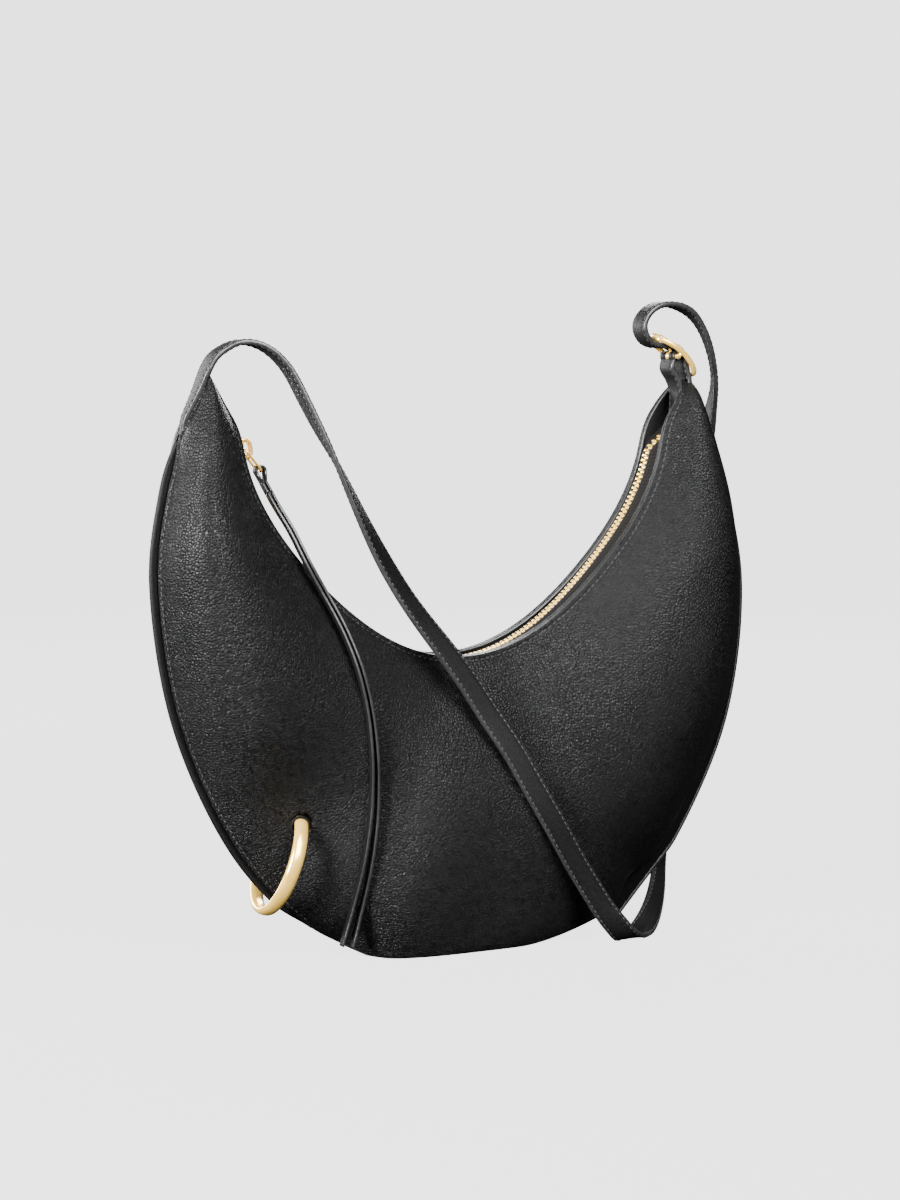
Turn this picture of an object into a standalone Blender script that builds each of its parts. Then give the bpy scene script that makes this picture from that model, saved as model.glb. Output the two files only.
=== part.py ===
"""Crescent crossbody bag in pebbled leather, with a curved zip, a pierced ring and a buckled strap.

Metres, +Z up. X runs along the bag, from the slider's horn (-X) to the buckle's horn (+X), the front
faces -Y, and the origin is the middle of the flat base, at the level of the ground.
"""
import bpy
import bmesh
from math import ceil, copysign, cos, exp, floor, hypot, pi, radians, sin, tanh
from mathutils import Matrix, Vector

# Mouth, an arc that the whole bag is laid out around
MOUTH_RADIUS = 0.1215
MOUTH_CENTRE_X = 0.003
MOUTH_DROP = 0.024

# Shell of the bag: its widths beside the mouth give its reach to each side
BAG_HEIGHT = 0.305
LEFT_WIDTH = 0.049
RIGHT_WIDTH = 0.0635
LEFT_REACH = MOUTH_RADIUS - MOUTH_CENTRE_X + LEFT_WIDTH
RIGHT_REACH = MOUTH_RADIUS + MOUTH_CENTRE_X + RIGHT_WIDTH
BELLY_HALF_DEPTH = 0.040
TIP_HALF_DEPTH = 0.0095
DEPTH_GROWTH = 0.075
BASE_HALF_DEPTH = 0.028
BASE_LEFT_LENGTH = 0.062
BASE_RIGHT_LENGTH = 0.112
LEATHER = 0.0016
LINING = 0.0008
BOARD = 0.0014
GAP = 0.0003

# Outline of the bag from the slider's horn tip round to the buckle's horn tip:
# the mouth's angle from straight down in degrees, then the outer edge as shares of reach and height
OUTLINE_shares = [
    (-99.5, -0.818, 0.991),
    (-92.0, -0.872, 0.932),
    (-87.3, -0.900, 0.886),
    (-84.0, -0.952, 0.850),
    (-57.0, -1.000, 0.645),
    (-34.0, -0.930, 0.413),
    (-20.0, -0.745, 0.195),
    (-11.0, -0.500, 0.052),
    (-6.0, -0.240, 0.000),
    (0.0, 0.000, 0.000),
    (5.0, 0.180, 0.000),
    (9.0, 0.400, 0.026),
    (14.0, 0.638, 0.070),
    (21.0, 0.779, 0.152),
    (36.0, 0.950, 0.365),
    (58.0, 1.000, 0.616),
    (84.0, 0.915, 0.845),
    (91.0, 0.872, 0.920),
    (97.7, 0.835, 0.980),
]
BELLY_PLACE_share = 0.58
BASE_BLUNT_share = 3.0
BASE_ROUND_share = 0.6
BASE_END_share = 0.88
SEAM_SLOPE_share = 0.78
STATION_STEP = 0.022
WALL_STEPS_share = (-1, 0.0, 0.12, 0.26, 0.42, 0.58, 0.72, 0.84, 0.92, 0.97, 1.0)
LINING_STEPS_share = (0.06, 0.2, 0.4, 0.58, 0.74, 0.88, 0.955)

# Mouth and zip line
MOUTH_CENTRE_Z = BAG_HEIGHT - MOUTH_DROP
MOUTH_WAVE = 0.0038
LEFT_FLARE = 0.015
RIGHT_FLARE = 0.024
FLARE_SPAN = radians(15)
ZIP_END = radians(84)
MOUTH_HALF_GAP = 0.0088
TIP_HALF_GAP = 0.0074
GAP_GROWTH = 0.030
LIP_WIDTH = 0.005
LIP_SLOPE_share = 0.15
LIP_GROWTH = 0.050
ZIP_CLOSE_DEGREES = 87.8
ZIP_CLOSE_SPAN = 4.0

# Welt sewn into the side seams
WELT_THICKNESS = 0.0030
WELT_WIDTH = 0.0048
WELT_ROOT = 0.0030
EAR_LENGTH = 0.017
EAR_TURN = radians(12)
SEAM_HALF = WELT_THICKNESS / 2 + GAP + LEATHER

# Ring through the lower corner on the slider's side
RING_RADIUS = 0.027
RING_PLACE_share = 0.585
RING_X = -RING_PLACE_share * LEFT_REACH
RING_Z = 0.0534
RING_LEAN = radians(20)
RING_YAW = radians(-8)
RING_BAND_WIDTH = 0.0062
RING_BAND_THICKNESS = 0.0036
RING_HOLE_CLEARANCE = 0.0006
HOLE_DROP_share = 0.78
HOLE_REACH_share = 0.62
RING_STEPS = 40
PINCH_SHARE = 0.56
PINCH_SPREAD = 0.034
FACING_RADIUS = 0.0085
FACING_LEAN = 0.35
FACING_DIP = 0.12
FACING_THICKNESS = 0.0008

# Zip
TAPE = 0.0006
CHAIN_RISE = 0.0010
CHAIN_DIP = 0.0120
CHAIN_SAG = 0.0036
SAG_SPREAD = radians(34)
DIP_START = radians(80)
DIP_SPAN = radians(9)
TAPE_START = radians(-87.1)
TAPE_END = radians(88.6)
ROW_START = radians(-85.9)
ROW_END = radians(87.2)
ROW_ANGLE_STEP = radians(6)
SLIDER_ANGLE_STEP = radians(0.5)
TOOTH_PITCH = 0.0027
TOOTH_LENGTH = 0.00105
TOOTH_THICKNESS = 0.0018
TOOTH_REACH = 0.0008
ROW_FRONT = 0.0019
ROW_BACK = 0.0030
ROW_SPREAD = 0.0017
STOP_LENGTH = 0.0020
STOP_THICKNESS = 0.0027
BOTTOM_STOP_LENGTH = 0.0028

# Slider, its bail, the link and the leather pull
SLIDER_ANGLE = radians(-82.7)
SLIDER_HALF_LENGTH = 0.0058
SLIDER_PLATE = 0.0010
SLIDER_WALL = 0.0008
SLIDER_SLOT = 0.0014
SLIDER_HALF_WIDTH = 0.0060
SLIDER_NECK_HALF = 0.0006
SLIDER_NECK_LENGTH = 0.0034
BAIL_WIRE = 0.0009
BAIL_HALF_LENGTH = 0.0038
BAIL_SLACK = 0.0008
LINK_WIRE = 0.0007
LINK_LENGTH = 0.0162
LINK_WIDTH = 0.0074
LINK_TURN = radians(29)
PULL_THICKNESS = 0.0015
PULL_WIDTH = 0.0038
PULL_SPACE = 0.0006
PULL_LOOP_RADIUS = 0.0026
PULL_SPREAD = 0.0020

# Shoulder strap
STRAP_WIDTH = 0.013
STRAP_THICKNESS = 0.0030
STRAP_CHAMFER = 0.0007
STRAP_SEWN_LENGTH = 0.038

# Buckle, its prong and the leather tab that carries it
BUCKLE_PLACE_share = 0.742
BUCKLE_RISE = 0.0080
BUCKLE_X = BUCKLE_PLACE_share * RIGHT_REACH
BUCKLE_Z = BAG_HEIGHT + BUCKLE_RISE
BUCKLE_TILT = radians(39)
BUCKLE_HALF_LENGTH = 0.0155
BUCKLE_HALF_WIDTH = 0.0099
BUCKLE_WIRE = 0.0012
BUCKLE_ARCH = 0.0027
BUCKLE_SQUARE_share = 0.5
BAR_RADIUS = 0.0012
PRONG_RADIUS = 0.0010
PRONG_EYE_RADIUS = 0.0026
PRONG_EYE_HALF_WIDTH = 0.0014
TAB_EYE_RADIUS = 0.0030
TAB_THICKNESS = 0.0028
TAB_LENGTH = 0.033
TAB_SLOT_HALF_WIDTH = 0.0019
STRAP_SLOT_HALF_WIDTH = 0.0015
STRAP_HOLE_RADIUS = 0.0012
STRAP_HOLE_STEP = 0.016
STRAP_HOLE_COUNT = 3

# Strap's free run from the slider's horn over the front, along the ground and up behind the bag:
# shares of the right reach, the belly's half depth and the height, then the outer face's direction
STRAP_ROUTE_shares = [
    (-0.735, -0.005, 1.0215, -0.70, 0.00, 0.70),
    (-0.694, -0.012, 1.0350, -0.50, 0.00, 0.87),
    (-0.668, -0.030, 1.0445, -0.30, 0.00, 0.95),
    (-0.635, -0.062, 1.0500, 0.00, 0.00, 1.00),
    (-0.591, -0.100, 1.0465, 0.30, 0.00, 0.95),
    (-0.547, -0.140, 1.0330, 0.60, 0.00, 0.80),
    (-0.501, -0.175, 1.0030, 0.75, 0.00, 0.66),
    (-0.468, -0.225, 0.9610, 0.84, 0.00, 0.54),
    (-0.420, -0.300, 0.8995, 0.86, -0.10, 0.50),
    (-0.371, -0.375, 0.8390, 0.75, -0.40, 0.44),
    (-0.313, -0.450, 0.7580, 0.62, -0.60, 0.38),
    (-0.248, -0.525, 0.6770, 0.45, -0.80, 0.30),
    (-0.173, -0.620, 0.6000, 0.42, -0.85, 0.26),
    (-0.087, -0.720, 0.5303, 0.22, -0.93, 0.25),
    (-0.015, -0.780, 0.4697, 0.08, -0.96, 0.26),
    (0.044, -0.850, 0.4087, 0.00, -0.95, 0.30),
    (0.099, -0.940, 0.3579, 0.00, -0.96, 0.26),
    (0.164, -1.040, 0.2817, 0.00, -0.99, 0.10),
    (0.227, -1.080, 0.2165, 0.00, -1.00, 0.00),
    (0.291, -1.080, 0.1488, 0.00, -1.00, 0.00),
    (0.340, -1.080, 0.1033, 0.00, -1.00, 0.00),
    (0.386, -1.090, 0.0600, 0.00, -1.00, -0.05),
    (0.424, -1.100, 0.0330, 0.00, -0.95, -0.30),
    (0.464, -1.060, 0.0165, 0.00, -0.60, -0.80),
    (0.536, -0.825, 0.0150, -0.10, 0.20, -0.97),
    (0.622, -0.490, 0.0370, -0.25, 0.80, -0.50),
    (0.703, -0.060, 0.0660, -0.30, 0.92, -0.20),
    (0.753, 0.290, 0.1040, -0.30, 0.95, 0.00),
    (0.786, 0.520, 0.1460, -0.20, 0.98, 0.00),
    (0.820, 0.720, 0.2150, 0.00, 1.00, 0.00),
    (0.865, 0.880, 0.3100, 0.00, 1.00, 0.00),
    (0.905, 0.940, 0.4150, 0.00, 1.00, 0.00),
    (0.926, 0.950, 0.5400, 0.10, 0.99, 0.00),
    (0.930, 0.880, 0.6700, 0.40, 0.91, 0.00),
    (0.928, 0.680, 0.7950, 0.75, 0.65, 0.00),
    (0.924, 0.400, 0.8800, 0.95, 0.20, 0.00),
    (0.921, 0.230, 0.9380, 0.93, -0.30, 0.00),
    (0.915, 0.120, 0.9800, 0.88, -0.45, 0.10),
    (0.898, 0.080, 1.0230, 0.80, -0.42, 0.38),
    (0.871, 0.040, 1.0600, 0.68, -0.35, 0.62),
    (0.836, 0.010, 1.0900, 0.52, -0.25, 0.80),
    (0.795, 0.000, 1.1105, 0.32, 0.00, 0.95),
    (0.743, 0.000, 1.1200, 0.00, 0.00, 1.00),
    (0.691, 0.000, 1.1175, -0.40, 0.00, 0.92),
    (0.653, 0.000, 1.1030, -0.80, 0.00, 0.60),
    (0.634, 0.000, 1.0810, -1.00, 0.00, 0.00),
    (0.646, 0.000, 1.0600, -0.80, 0.00, -0.60),
]
# Strap's way through the buckle: shares of the buckle's half length along it and above its bar
STRAP_THREAD_shares = [
    (-1.00, -0.215),
    (-0.70, -0.080),
    (-0.42, 0.160),
    (-0.20, 0.290),
    (0.00, 0.318),
    (0.20, 0.290),
    (0.42, 0.160),
    (0.70, -0.080),
    (0.93, -0.215),
]
# Strap's tail inside the horn: shares of the right reach and the height, then its face's direction
STRAP_TAIL_shares = [
    (0.7905, 0.9640, -1.0, 0.0),
    (0.7895, 0.9430, -1.0, 0.0),
]
# Tab's way from the buckle's bar into the horn: shares of its length aside and down
TAB_ROUTE_shares = [
    (0.00, 0.00),
    (-0.03, 0.16),
    (0.08, 0.33),
    (0.15, 0.50),
    (0.17, 0.67),
    (0.16, 0.84),
    (0.14, 1.00),
]
# Prong's slot in the strap and the prong's own line: shares of the buckle's half length
PRONG_SLOT_shares = (-0.52, 0.12)
PRONG_shares = [
    (-0.02, 0.10),
    (-0.13, 0.17),
    (-0.25, 0.27),
    (-0.40, 0.34),
    (-0.60, 0.33),
    (-0.85, 0.25),
    (-1.06, 0.165),
]
# Leather pull's middle line from the link down the front: shares of the left reach, belly and height
PULL_ROUTE_shares = [
    (-0.6080, -0.200, 0.7770),
    (-0.5760, -0.375, 0.7354),
    (-0.5400, -0.500, 0.6848),
    (-0.4870, -0.540, 0.6314),
    (-0.4360, -0.640, 0.5738),
    (-0.3930, -0.750, 0.5049),
    (-0.3634, -0.790, 0.4306),
    (-0.3513, -0.815, 0.3608),
    (-0.3456, -0.780, 0.3016),
    (-0.3502, -0.765, 0.2432),
    (-0.3656, -0.722, 0.1729),
    (-0.3846, -0.600, 0.1004),
    (-0.4173, -0.560, 0.0300),
]


def clear_scene():
    for thing in list(bpy.data.objects):
        bpy.data.objects.remove(thing, do_unlink=True)


def spline_row(rows, place):
    """Smooth row of values at a place counted in rows."""
    last = len(rows) - 1
    place = min(max(place, 0.0), last - 1e-9)
    i = int(floor(place))
    f = place - i
    picked = [rows[min(max(j, 0), last)] for j in (i - 1, i, i + 1, i + 2)]
    out = []
    for p0, p1, p2, p3 in zip(*picked):
        out.append(0.5 * (2 * p1 + (p2 - p0) * f + (2 * p0 - 5 * p1 + 4 * p2 - p3) * f * f
                          + (3 * p1 - p0 - 3 * p2 + p3) * f ** 3))
    return out


def ease(x):
    x = min(max(x, 0.0), 1.0)
    return x * x * (3 - 2 * x)


def mouth_radius(angle):
    past = max(0.0, abs(angle) - ZIP_END) / FLARE_SPAN
    flare = LEFT_FLARE if angle < 0 else RIGHT_FLARE
    return MOUTH_RADIUS + MOUTH_WAVE * cos(4 * angle) + flare * past * past


def mouth_place(angle, drop):
    """Point of the zip line in X and Z, with a drop away from the mouth's centre."""
    r = mouth_radius(angle) + drop
    return Vector((MOUTH_CENTRE_X + r * sin(angle), 0.0, MOUTH_CENTRE_Z - r * cos(angle)))


def station(place):
    """All that a cross-section of the bag needs, at a place counted in outline rows."""
    degrees_, x_share, z_share = spline_row(OUTLINE_shares, place)
    mouth = mouth_place(radians(degrees_), 0.0)
    reach = LEFT_REACH if x_share < 0 else RIGHT_REACH
    outer = Vector((x_share * reach, 0.0, max(z_share, 0.0) * BAG_HEIGHT))
    along = (outer - mouth).normalized()
    base_length = BASE_LEFT_LENGTH if outer.x < 0 else BASE_RIGHT_LENGTH
    q = abs(outer.x) / base_length
    base_half = 0.0
    if q < 1:
        base_half = BASE_HALF_DEPTH * (1 - q ** BASE_BLUNT_share) ** BASE_ROUND_share
    seam = outer - along * (WELT_WIDTH * ease((q - 0.85) / 0.2))
    width = (seam - mouth).length
    closing = ease((-degrees_ - ZIP_CLOSE_DEGREES) / ZIP_CLOSE_SPAN)
    gap = TIP_HALF_GAP + (MOUTH_HALF_GAP - TIP_HALF_GAP) * tanh(width / GAP_GROWTH)
    return {
        "angle": radians(degrees_),
        "mouth": mouth,
        "outer": outer,
        "seam": seam,
        "along": along,
        "width": width,
        "depth": TIP_HALF_DEPTH + (BELLY_HALF_DEPTH - TIP_HALF_DEPTH) * tanh(width / DEPTH_GROWTH),
        "gap": gap + (3 * GAP - gap) * closing,
        "lip": LIP_WIDTH * tanh(width / LIP_GROWTH),
        "base_half": base_half,
        "base_share": q,
    }


def ring_axes():
    """Ring's hanging direction, its direction through the bag and its own axis."""
    yaw = Matrix.Rotation(RING_YAW, 3, "Z")
    hang = yaw @ Vector((-sin(RING_LEAN), 0.0, -cos(RING_LEAN)))
    through = yaw @ Vector((0.0, 1.0, 0.0))
    return hang, through, hang.cross(through)


def hole_centre():
    """Where the ring goes through the front wall."""
    hang, through, _ = ring_axes()
    drop = hang * (RING_RADIUS * HOLE_DROP_share)
    return Vector((RING_X, 0.0, RING_Z)) - drop - through * (RING_RADIUS * HOLE_REACH_share)


def pinch(x, z):
    """How much flatter the shell is where the ring goes through it."""
    hole = hole_centre()
    far = hypot(x - hole.x, z - hole.z)
    return 1 - PINCH_SHARE * exp(-far * far / (2 * PINCH_SPREAD * PINCH_SPREAD))


def wall_point(s, v, inset, seam_inset, mouth_drop, end_half):
    """Point of a wall's cross-section: v is 0 under the lip and 1 at the seam or base."""
    width = s["width"] - seam_inset - mouth_drop
    start = s["mouth"] + s["along"] * mouth_drop
    y_start = s["gap"] + s["lip"]
    y_belly = max(s["depth"] - inset, y_start + GAP)
    y_end = max(s["base_half"] - inset, end_half)
    if v < 0:
        return start + Vector((0.0, -s["gap"], 0.0))
    lip_drop = s["lip"] * LIP_SLOPE_share
    w = lip_drop + (width - lip_drop) * v
    if v < BELLY_PLACE_share:
        y = y_start + (y_belly - y_start) * sin(pi / 2 * v / BELLY_PLACE_share)
    else:
        f = (v - BELLY_PLACE_share) / (1 - BELLY_PLACE_share)
        y = y_end + (y_belly - y_end) * max(0.0, 1 - f * f) ** SEAM_SLOPE_share
    p = start + s["along"] * w
    y = y_end + (y - y_end) * pinch(p.x, p.z) if y > y_end else y
    return Vector((p.x, -y, p.z))


def link_object(collection, thing):
    collection.objects.link(thing)
    return thing


def mesh_object(collection, name, verts, faces):
    mesh = bpy.data.meshes.new(name)
    mesh.from_pydata([tuple(v) for v in verts], [], faces)
    mesh.update()
    bm = bmesh.new()
    bm.from_mesh(mesh)
    bmesh.ops.recalc_face_normals(bm, faces=bm.faces)
    bm.to_mesh(mesh)
    bm.free()
    return link_object(collection, bpy.data.objects.new(name, mesh))


def grid_faces(rows, columns, flip):
    faces = []
    for i in range(rows - 1):
        for j in range(columns - 1):
            a = i * columns + j
            quad = (a, a + 1, a + columns + 1, a + columns)
            faces.append(quad[::-1] if flip else quad)
    return faces


def sheet_object(collection, name, grid, flip, thickness):
    """Shell from an open grid of points, thickened to the inside of the bag."""
    columns = len(grid[0])
    verts = [p for row in grid for p in row]
    mesh = bpy.data.meshes.new(name)
    mesh.from_pydata([tuple(v) for v in verts], [], grid_faces(len(grid), columns, not flip))
    mesh.update()
    thing = link_object(collection, bpy.data.objects.new(name, mesh))
    solid = thing.modifiers.new("leather", "SOLIDIFY")
    solid.thickness = thickness
    solid.offset = -1.0
    solid.use_even_offset = False
    facets = thing.modifiers.new("facets", "TRIANGULATE")
    facets.quad_method = "FIXED"
    return thing


def wall_places(step):
    """Places of the cross-sections, no further apart along the outer edge than a step."""
    places = []
    for i in range(len(OUTLINE_shares) - 1):
        a = station(i)
        b = station(i + 1)
        count = max(1, ceil((a["outer"] - b["outer"]).length / step))
        places += [i + j / count for j in range(count)]
    return places + [len(OUTLINE_shares) - 1]


def place_at_angle(angle):
    """Place in the outline rows where the mouth has a given angle."""
    low = 0.0
    high = float(len(OUTLINE_shares) - 1)
    for _ in range(40):
        middle = (low + high) / 2
        if radians(spline_row(OUTLINE_shares, middle)[0]) < angle:
            low = middle
        else:
            high = middle
    return (low + high) / 2


def outer_wall(place, v, end_half):
    return wall_point(station(place), v, 0.0, 0.0, 0.0, end_half)


def wall_normal(place, v):
    """Direction out of the front wall."""
    step = 0.02
    last = len(OUTLINE_shares) - 1
    a = outer_wall(max(place - step, 0.0), v, SEAM_HALF)
    b = outer_wall(min(place + step, last), v, SEAM_HALF)
    c = outer_wall(place, max(v - step, 0.0), SEAM_HALF)
    d = outer_wall(place, min(v + step, 1.0), SEAM_HALF)
    normal = (b - a).cross(d - c).normalized()
    return normal if normal.y < 0 else -normal


def mirrored(p, side):
    return Vector((p.x, p.y * side, p.z))


def material(name, colour, roughness, metallic):
    found = bpy.data.materials.get(name)
    if found:
        return found
    made = bpy.data.materials.new(name)
    made.use_nodes = True
    shader = made.node_tree.nodes["Principled BSDF"]
    shader.inputs["Base Color"].default_value = (*colour, 1.0)
    shader.inputs["Roughness"].default_value = roughness
    shader.inputs["Metallic"].default_value = metallic
    made.diffuse_color = (*colour, 1.0)
    return made


def leather():
    return material("pebbled_black_leather", (0.018, 0.018, 0.019), 0.42, 0.0)


def edge_leather():
    return material("painted_edge_leather", (0.022, 0.022, 0.023), 0.36, 0.0)


def cloth():
    return material("dark_lining_cloth", (0.045, 0.042, 0.040), 0.85, 0.0)


def tape_cloth():
    return material("zip_tape_cloth", (0.060, 0.055, 0.048), 0.80, 0.0)


def gold():
    return material("pale_gold_metal", (0.83, 0.62, 0.33), 0.22, 1.0)


def board():
    return material("stiffening_board", (0.16, 0.12, 0.08), 0.80, 0.0)


def dress(thing, look, smooth):
    thing.data.materials.append(look)
    if smooth and thing.type == "MESH":
        thing.data.shade_smooth()
        thing.data.set_sharp_from_angle(angle=radians(40))
    return thing


def loft_object(collection, name, rings, look):
    """Closed solid through rings of points, capped at both ends."""
    count = len(rings[0])
    verts = [p for ring in rings for p in ring]
    faces = [tuple(range(count))[::-1]]
    for i in range(len(rings) - 1):
        for j in range(count):
            k = (j + 1) % count
            a = i * count
            faces.append((a + j, a + k, a + count + k, a + count + j))
    last = (len(rings) - 1) * count
    faces.append(tuple(range(last, last + count)))
    return dress(mesh_object(collection, name, verts, faces), look, True)


def smooth_rows(rows, count):
    return [spline_row(rows, i * (len(rows) - 1) / (count - 1)) for i in range(count)]


def ribbon_rings(points, faces_out, half_width, half_thickness, chamfer):
    """Rings of a flat band along points, whose outer face looks in the given directions."""
    rings = []
    for i, p in enumerate(points):
        ahead = points[min(i + 1, len(points) - 1)]
        behind = points[max(i - 1, 0)]
        along = (ahead - behind).normalized()
        out = faces_out[i] - along * faces_out[i].dot(along)
        out.normalize()
        across = along.cross(out)
        w = half_width
        t = half_thickness
        c = chamfer
        corners = [(-w + c, -t), (w - c, -t), (w, -t + c), (w, t - c),
                   (w - c, t), (-w + c, t), (-w, t - c), (-w, -t + c)]
        rings.append([p + across * a + out * b for a, b in corners])
    return rings


def cylinder(collection, name, radius, length, centre, direction, segments):
    bm = bmesh.new()
    bmesh.ops.create_cone(bm, cap_ends=True, segments=segments, radius1=radius, radius2=radius, depth=length)
    turn = direction.to_track_quat("Z", "Y").to_matrix().to_4x4()
    bmesh.ops.transform(bm, matrix=Matrix.Translation(centre) @ turn, verts=bm.verts)
    mesh = bpy.data.meshes.new(name)
    bm.to_mesh(mesh)
    bm.free()
    return link_object(collection, bpy.data.objects.new(name, mesh))


def box(collection, name, size, centre, turn):
    bm = bmesh.new()
    bmesh.ops.create_cube(bm, size=1.0)
    bmesh.ops.scale(bm, vec=size, verts=bm.verts)
    bmesh.ops.transform(bm, matrix=Matrix.Translation(centre) @ turn.to_4x4(), verts=bm.verts)
    mesh = bpy.data.meshes.new(name)
    bm.to_mesh(mesh)
    bm.free()
    return link_object(collection, bpy.data.objects.new(name, mesh))


def tube(collection, name, points, radius, look, closed):
    """Round wire along points, as a mesh with welded caps."""
    curve = bpy.data.curves.new(name, "CURVE")
    curve.dimensions = "3D"
    curve.bevel_depth = radius
    curve.bevel_resolution = 2
    curve.use_fill_caps = True
    line = curve.splines.new("POLY")
    line.points.add(len(points) - 1)
    for point, p in zip(line.points, points):
        point.co = (*p, 1.0)
    line.use_cyclic_u = closed
    wire = link_object(collection, bpy.data.objects.new(name + "_line", curve))
    bpy.context.view_layer.update()
    seen = wire.evaluated_get(bpy.context.evaluated_depsgraph_get())
    mesh = bpy.data.meshes.new_from_object(seen)
    bm = bmesh.new()
    bm.from_mesh(mesh)
    bmesh.ops.remove_doubles(bm, verts=bm.verts, dist=radius / 50)
    bmesh.ops.recalc_face_normals(bm, faces=bm.faces)
    bm.to_mesh(mesh)
    bm.free()
    made = link_object(collection, bpy.data.objects.new(name, mesh))
    made.matrix_world = wire.matrix_world.copy()
    bpy.data.objects.remove(wire)
    bpy.data.curves.remove(curve)
    mesh.materials.clear()
    return dress(made, look, True)


def boolean(thing, cutter, kind):
    change = thing.modifiers.new(kind.lower(), "BOOLEAN")
    change.operation = kind
    change.solver = "EXACT"
    change.object = cutter
    return change


def hide_cutter(thing):
    thing.hide_render = True
    thing.display_type = "WIRE"
    return thing


def set_origin(thing, point, turn):
    """Moves an object's origin to its joint, with the shape left where it is."""
    frame = Matrix.Translation(point) @ turn.to_4x4()
    thing.data.transform(frame.inverted())
    thing.matrix_world = frame


def make_panel(collection, name, side, ring_cutter):
    grid = [[mirrored(outer_wall(place, v, SEAM_HALF), side) for v in WALL_STEPS_share]
            for place in wall_places(STATION_STEP)]
    made = sheet_object(collection, name, grid, side > 0, LEATHER)
    boolean(made, ring_cutter, "DIFFERENCE")
    return dress(made, leather(), True)


def make_facing(collection, cutters, name, side, ring_cutter):
    """Leather ring around the hole in a panel, on the panel's outer face."""
    hole = hole_centre()
    places = wall_places(STATION_STEP)
    grid = [[mirrored(outer_wall(place, v, SEAM_HALF), side) for v in WALL_STEPS_share] for place in places]
    near = [i for i, row in enumerate(grid)
            if min((Vector((p.x, 0.0, p.z)) - Vector((hole.x, 0.0, hole.z))).length for p in row)
            < FACING_RADIUS * 3]
    rows = grid[near[0]:near[-1] + 1]
    columns = range(1, len(WALL_STEPS_share) - 1)
    patch = [[row[j] for j in columns] for row in rows]
    made = sheet_object(collection, name, patch, side > 0, -FACING_THICKNESS)
    bm = bmesh.new()
    bm.from_mesh(made.data)
    bm.normal_update()
    moves = [v.normal.copy() * (GAP * 1.5) for v in bm.verts]
    for v, move in zip(bm.verts, moves):
        v.co += move
    bm.to_mesh(made.data)
    bm.free()
    centre = mirrored(hole, side)
    around = hide_cutter(cylinder(cutters, name + "_outline", FACING_RADIUS, FACING_RADIUS * 3,
                                  centre, Vector((-FACING_LEAN, -side, -FACING_DIP)), 24))
    boolean(made, around, "INTERSECT")
    boolean(made, ring_cutter, "DIFFERENCE")
    return dress(made, edge_leather(), True)


def make_lining(collection, name, side, ring_cutter):
    grid = []
    first = place_at_angle(-ZIP_END)
    last = place_at_angle(ZIP_END)
    inset = LEATHER + 5 * GAP
    for place in wall_places(STATION_STEP * 1.3):
        if place < first or place > last:
            continue
        s = station(place)
        row = []
        most = 1.0 if s["base_share"] < 1 else 1 - (WELT_ROOT + 4 * GAP) / s["width"]
        for v in LINING_STEPS_share:
            v = min(v, most - (1 - v) * 0.5)
            row.append(outer_wall(place, v, SEAM_HALF) - wall_normal(place, v) * inset)
        foot = row[-1]
        row.append(Vector((foot.x, -GAP, foot.z)) + s["along"] * GAP)
        grid.append([mirrored(p, side) for p in row])
    made = sheet_object(collection, name, grid, side > 0, LINING)
    boolean(made, ring_cutter, "DIFFERENCE")
    return dress(made, cloth(), True)


def base_rows(inset, lift):
    rows = []
    for place in wall_places(STATION_STEP):
        s = station(place)
        half = s["base_half"] - inset
        if s["base_share"] < BASE_END_share and half > inset:
            rows.append([Vector((s["outer"].x, half * f, s["outer"].z + lift)) for f in (-1, -0.4, 0.4, 1)])
    return rows


def make_base(collection, name, inset, lift, thickness, look):
    made = sheet_object(collection, name, base_rows(inset, lift), False, thickness)
    return dress(made, look, False)


def welt_ring(s, root, width):
    out = s["along"]
    h = WELT_THICKNESS / 2
    base = s["seam"]
    spots = [(-root, -h), (width * 0.8, -h), (width, -h * 0.5), (width, h * 0.5), (width * 0.8, h), (-root, h)]
    return [base + out * a + Vector((0.0, b, 0.0)) for a, b in spots]


def make_welt(collection, name, start, end, ear):
    """Leather strip sewn between the panels along a side seam, with a free ear at the base if it has one."""
    count = max(3, ceil(abs(end - start) * 2.2))
    rings = []
    for i in range(count + 1):
        s = station(start + (end - start) * i / count)
        width = (s["outer"] - s["seam"]).length
        rings.append(welt_ring(s, WELT_ROOT, max(width, WELT_WIDTH * 0.6)))
    if ear:
        tail = station(end)
        before = station(end - copysign(0.2, end - start))
        run = (tail["outer"] - before["outer"]).normalized()
        run = Matrix.Rotation(-EAR_TURN, 3, "Y") @ run
        side = Vector((-run.z, 0.0, run.x))
        if side.z > 0:
            side = -side
        h = WELT_THICKNESS / 2
        for f in (0.35, 0.7, 1.0):
            centre = tail["seam"] + run * (EAR_LENGTH * f)
            spots = [(-WELT_ROOT * (1 - f) * 0.3, -h), (WELT_WIDTH * 0.8, -h), (WELT_WIDTH, -h * 0.5),
                     (WELT_WIDTH, h * 0.5), (WELT_WIDTH * 0.8, h), (-WELT_ROOT * (1 - f) * 0.3, h)]
            rings.append([centre + side * a + Vector((0.0, b, 0.0)) for a, b in spots])
    return loft_object(collection, name, rings, edge_leather())


def row_shift(angle):
    """How far each tooth row stands off beside the slider's neck and above it."""
    half = SLIDER_HALF_LENGTH / MOUTH_RADIUS
    return ROW_SPREAD * ease((SLIDER_ANGLE + half * 0.1 - angle) / (half * 0.75))


def dip_share(angle):
    return ease((angle - DIP_START) / DIP_SPAN)


def chain_drop(angle):
    """Teeth stand above the lips, sag in the middle and dip into the buckle's horn at the closed end."""
    sag = CHAIN_SAG * exp(-(angle / SAG_SPREAD) ** 2)
    return (CHAIN_DIP + CHAIN_RISE) * dip_share(angle) - CHAIN_RISE + sag


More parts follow.
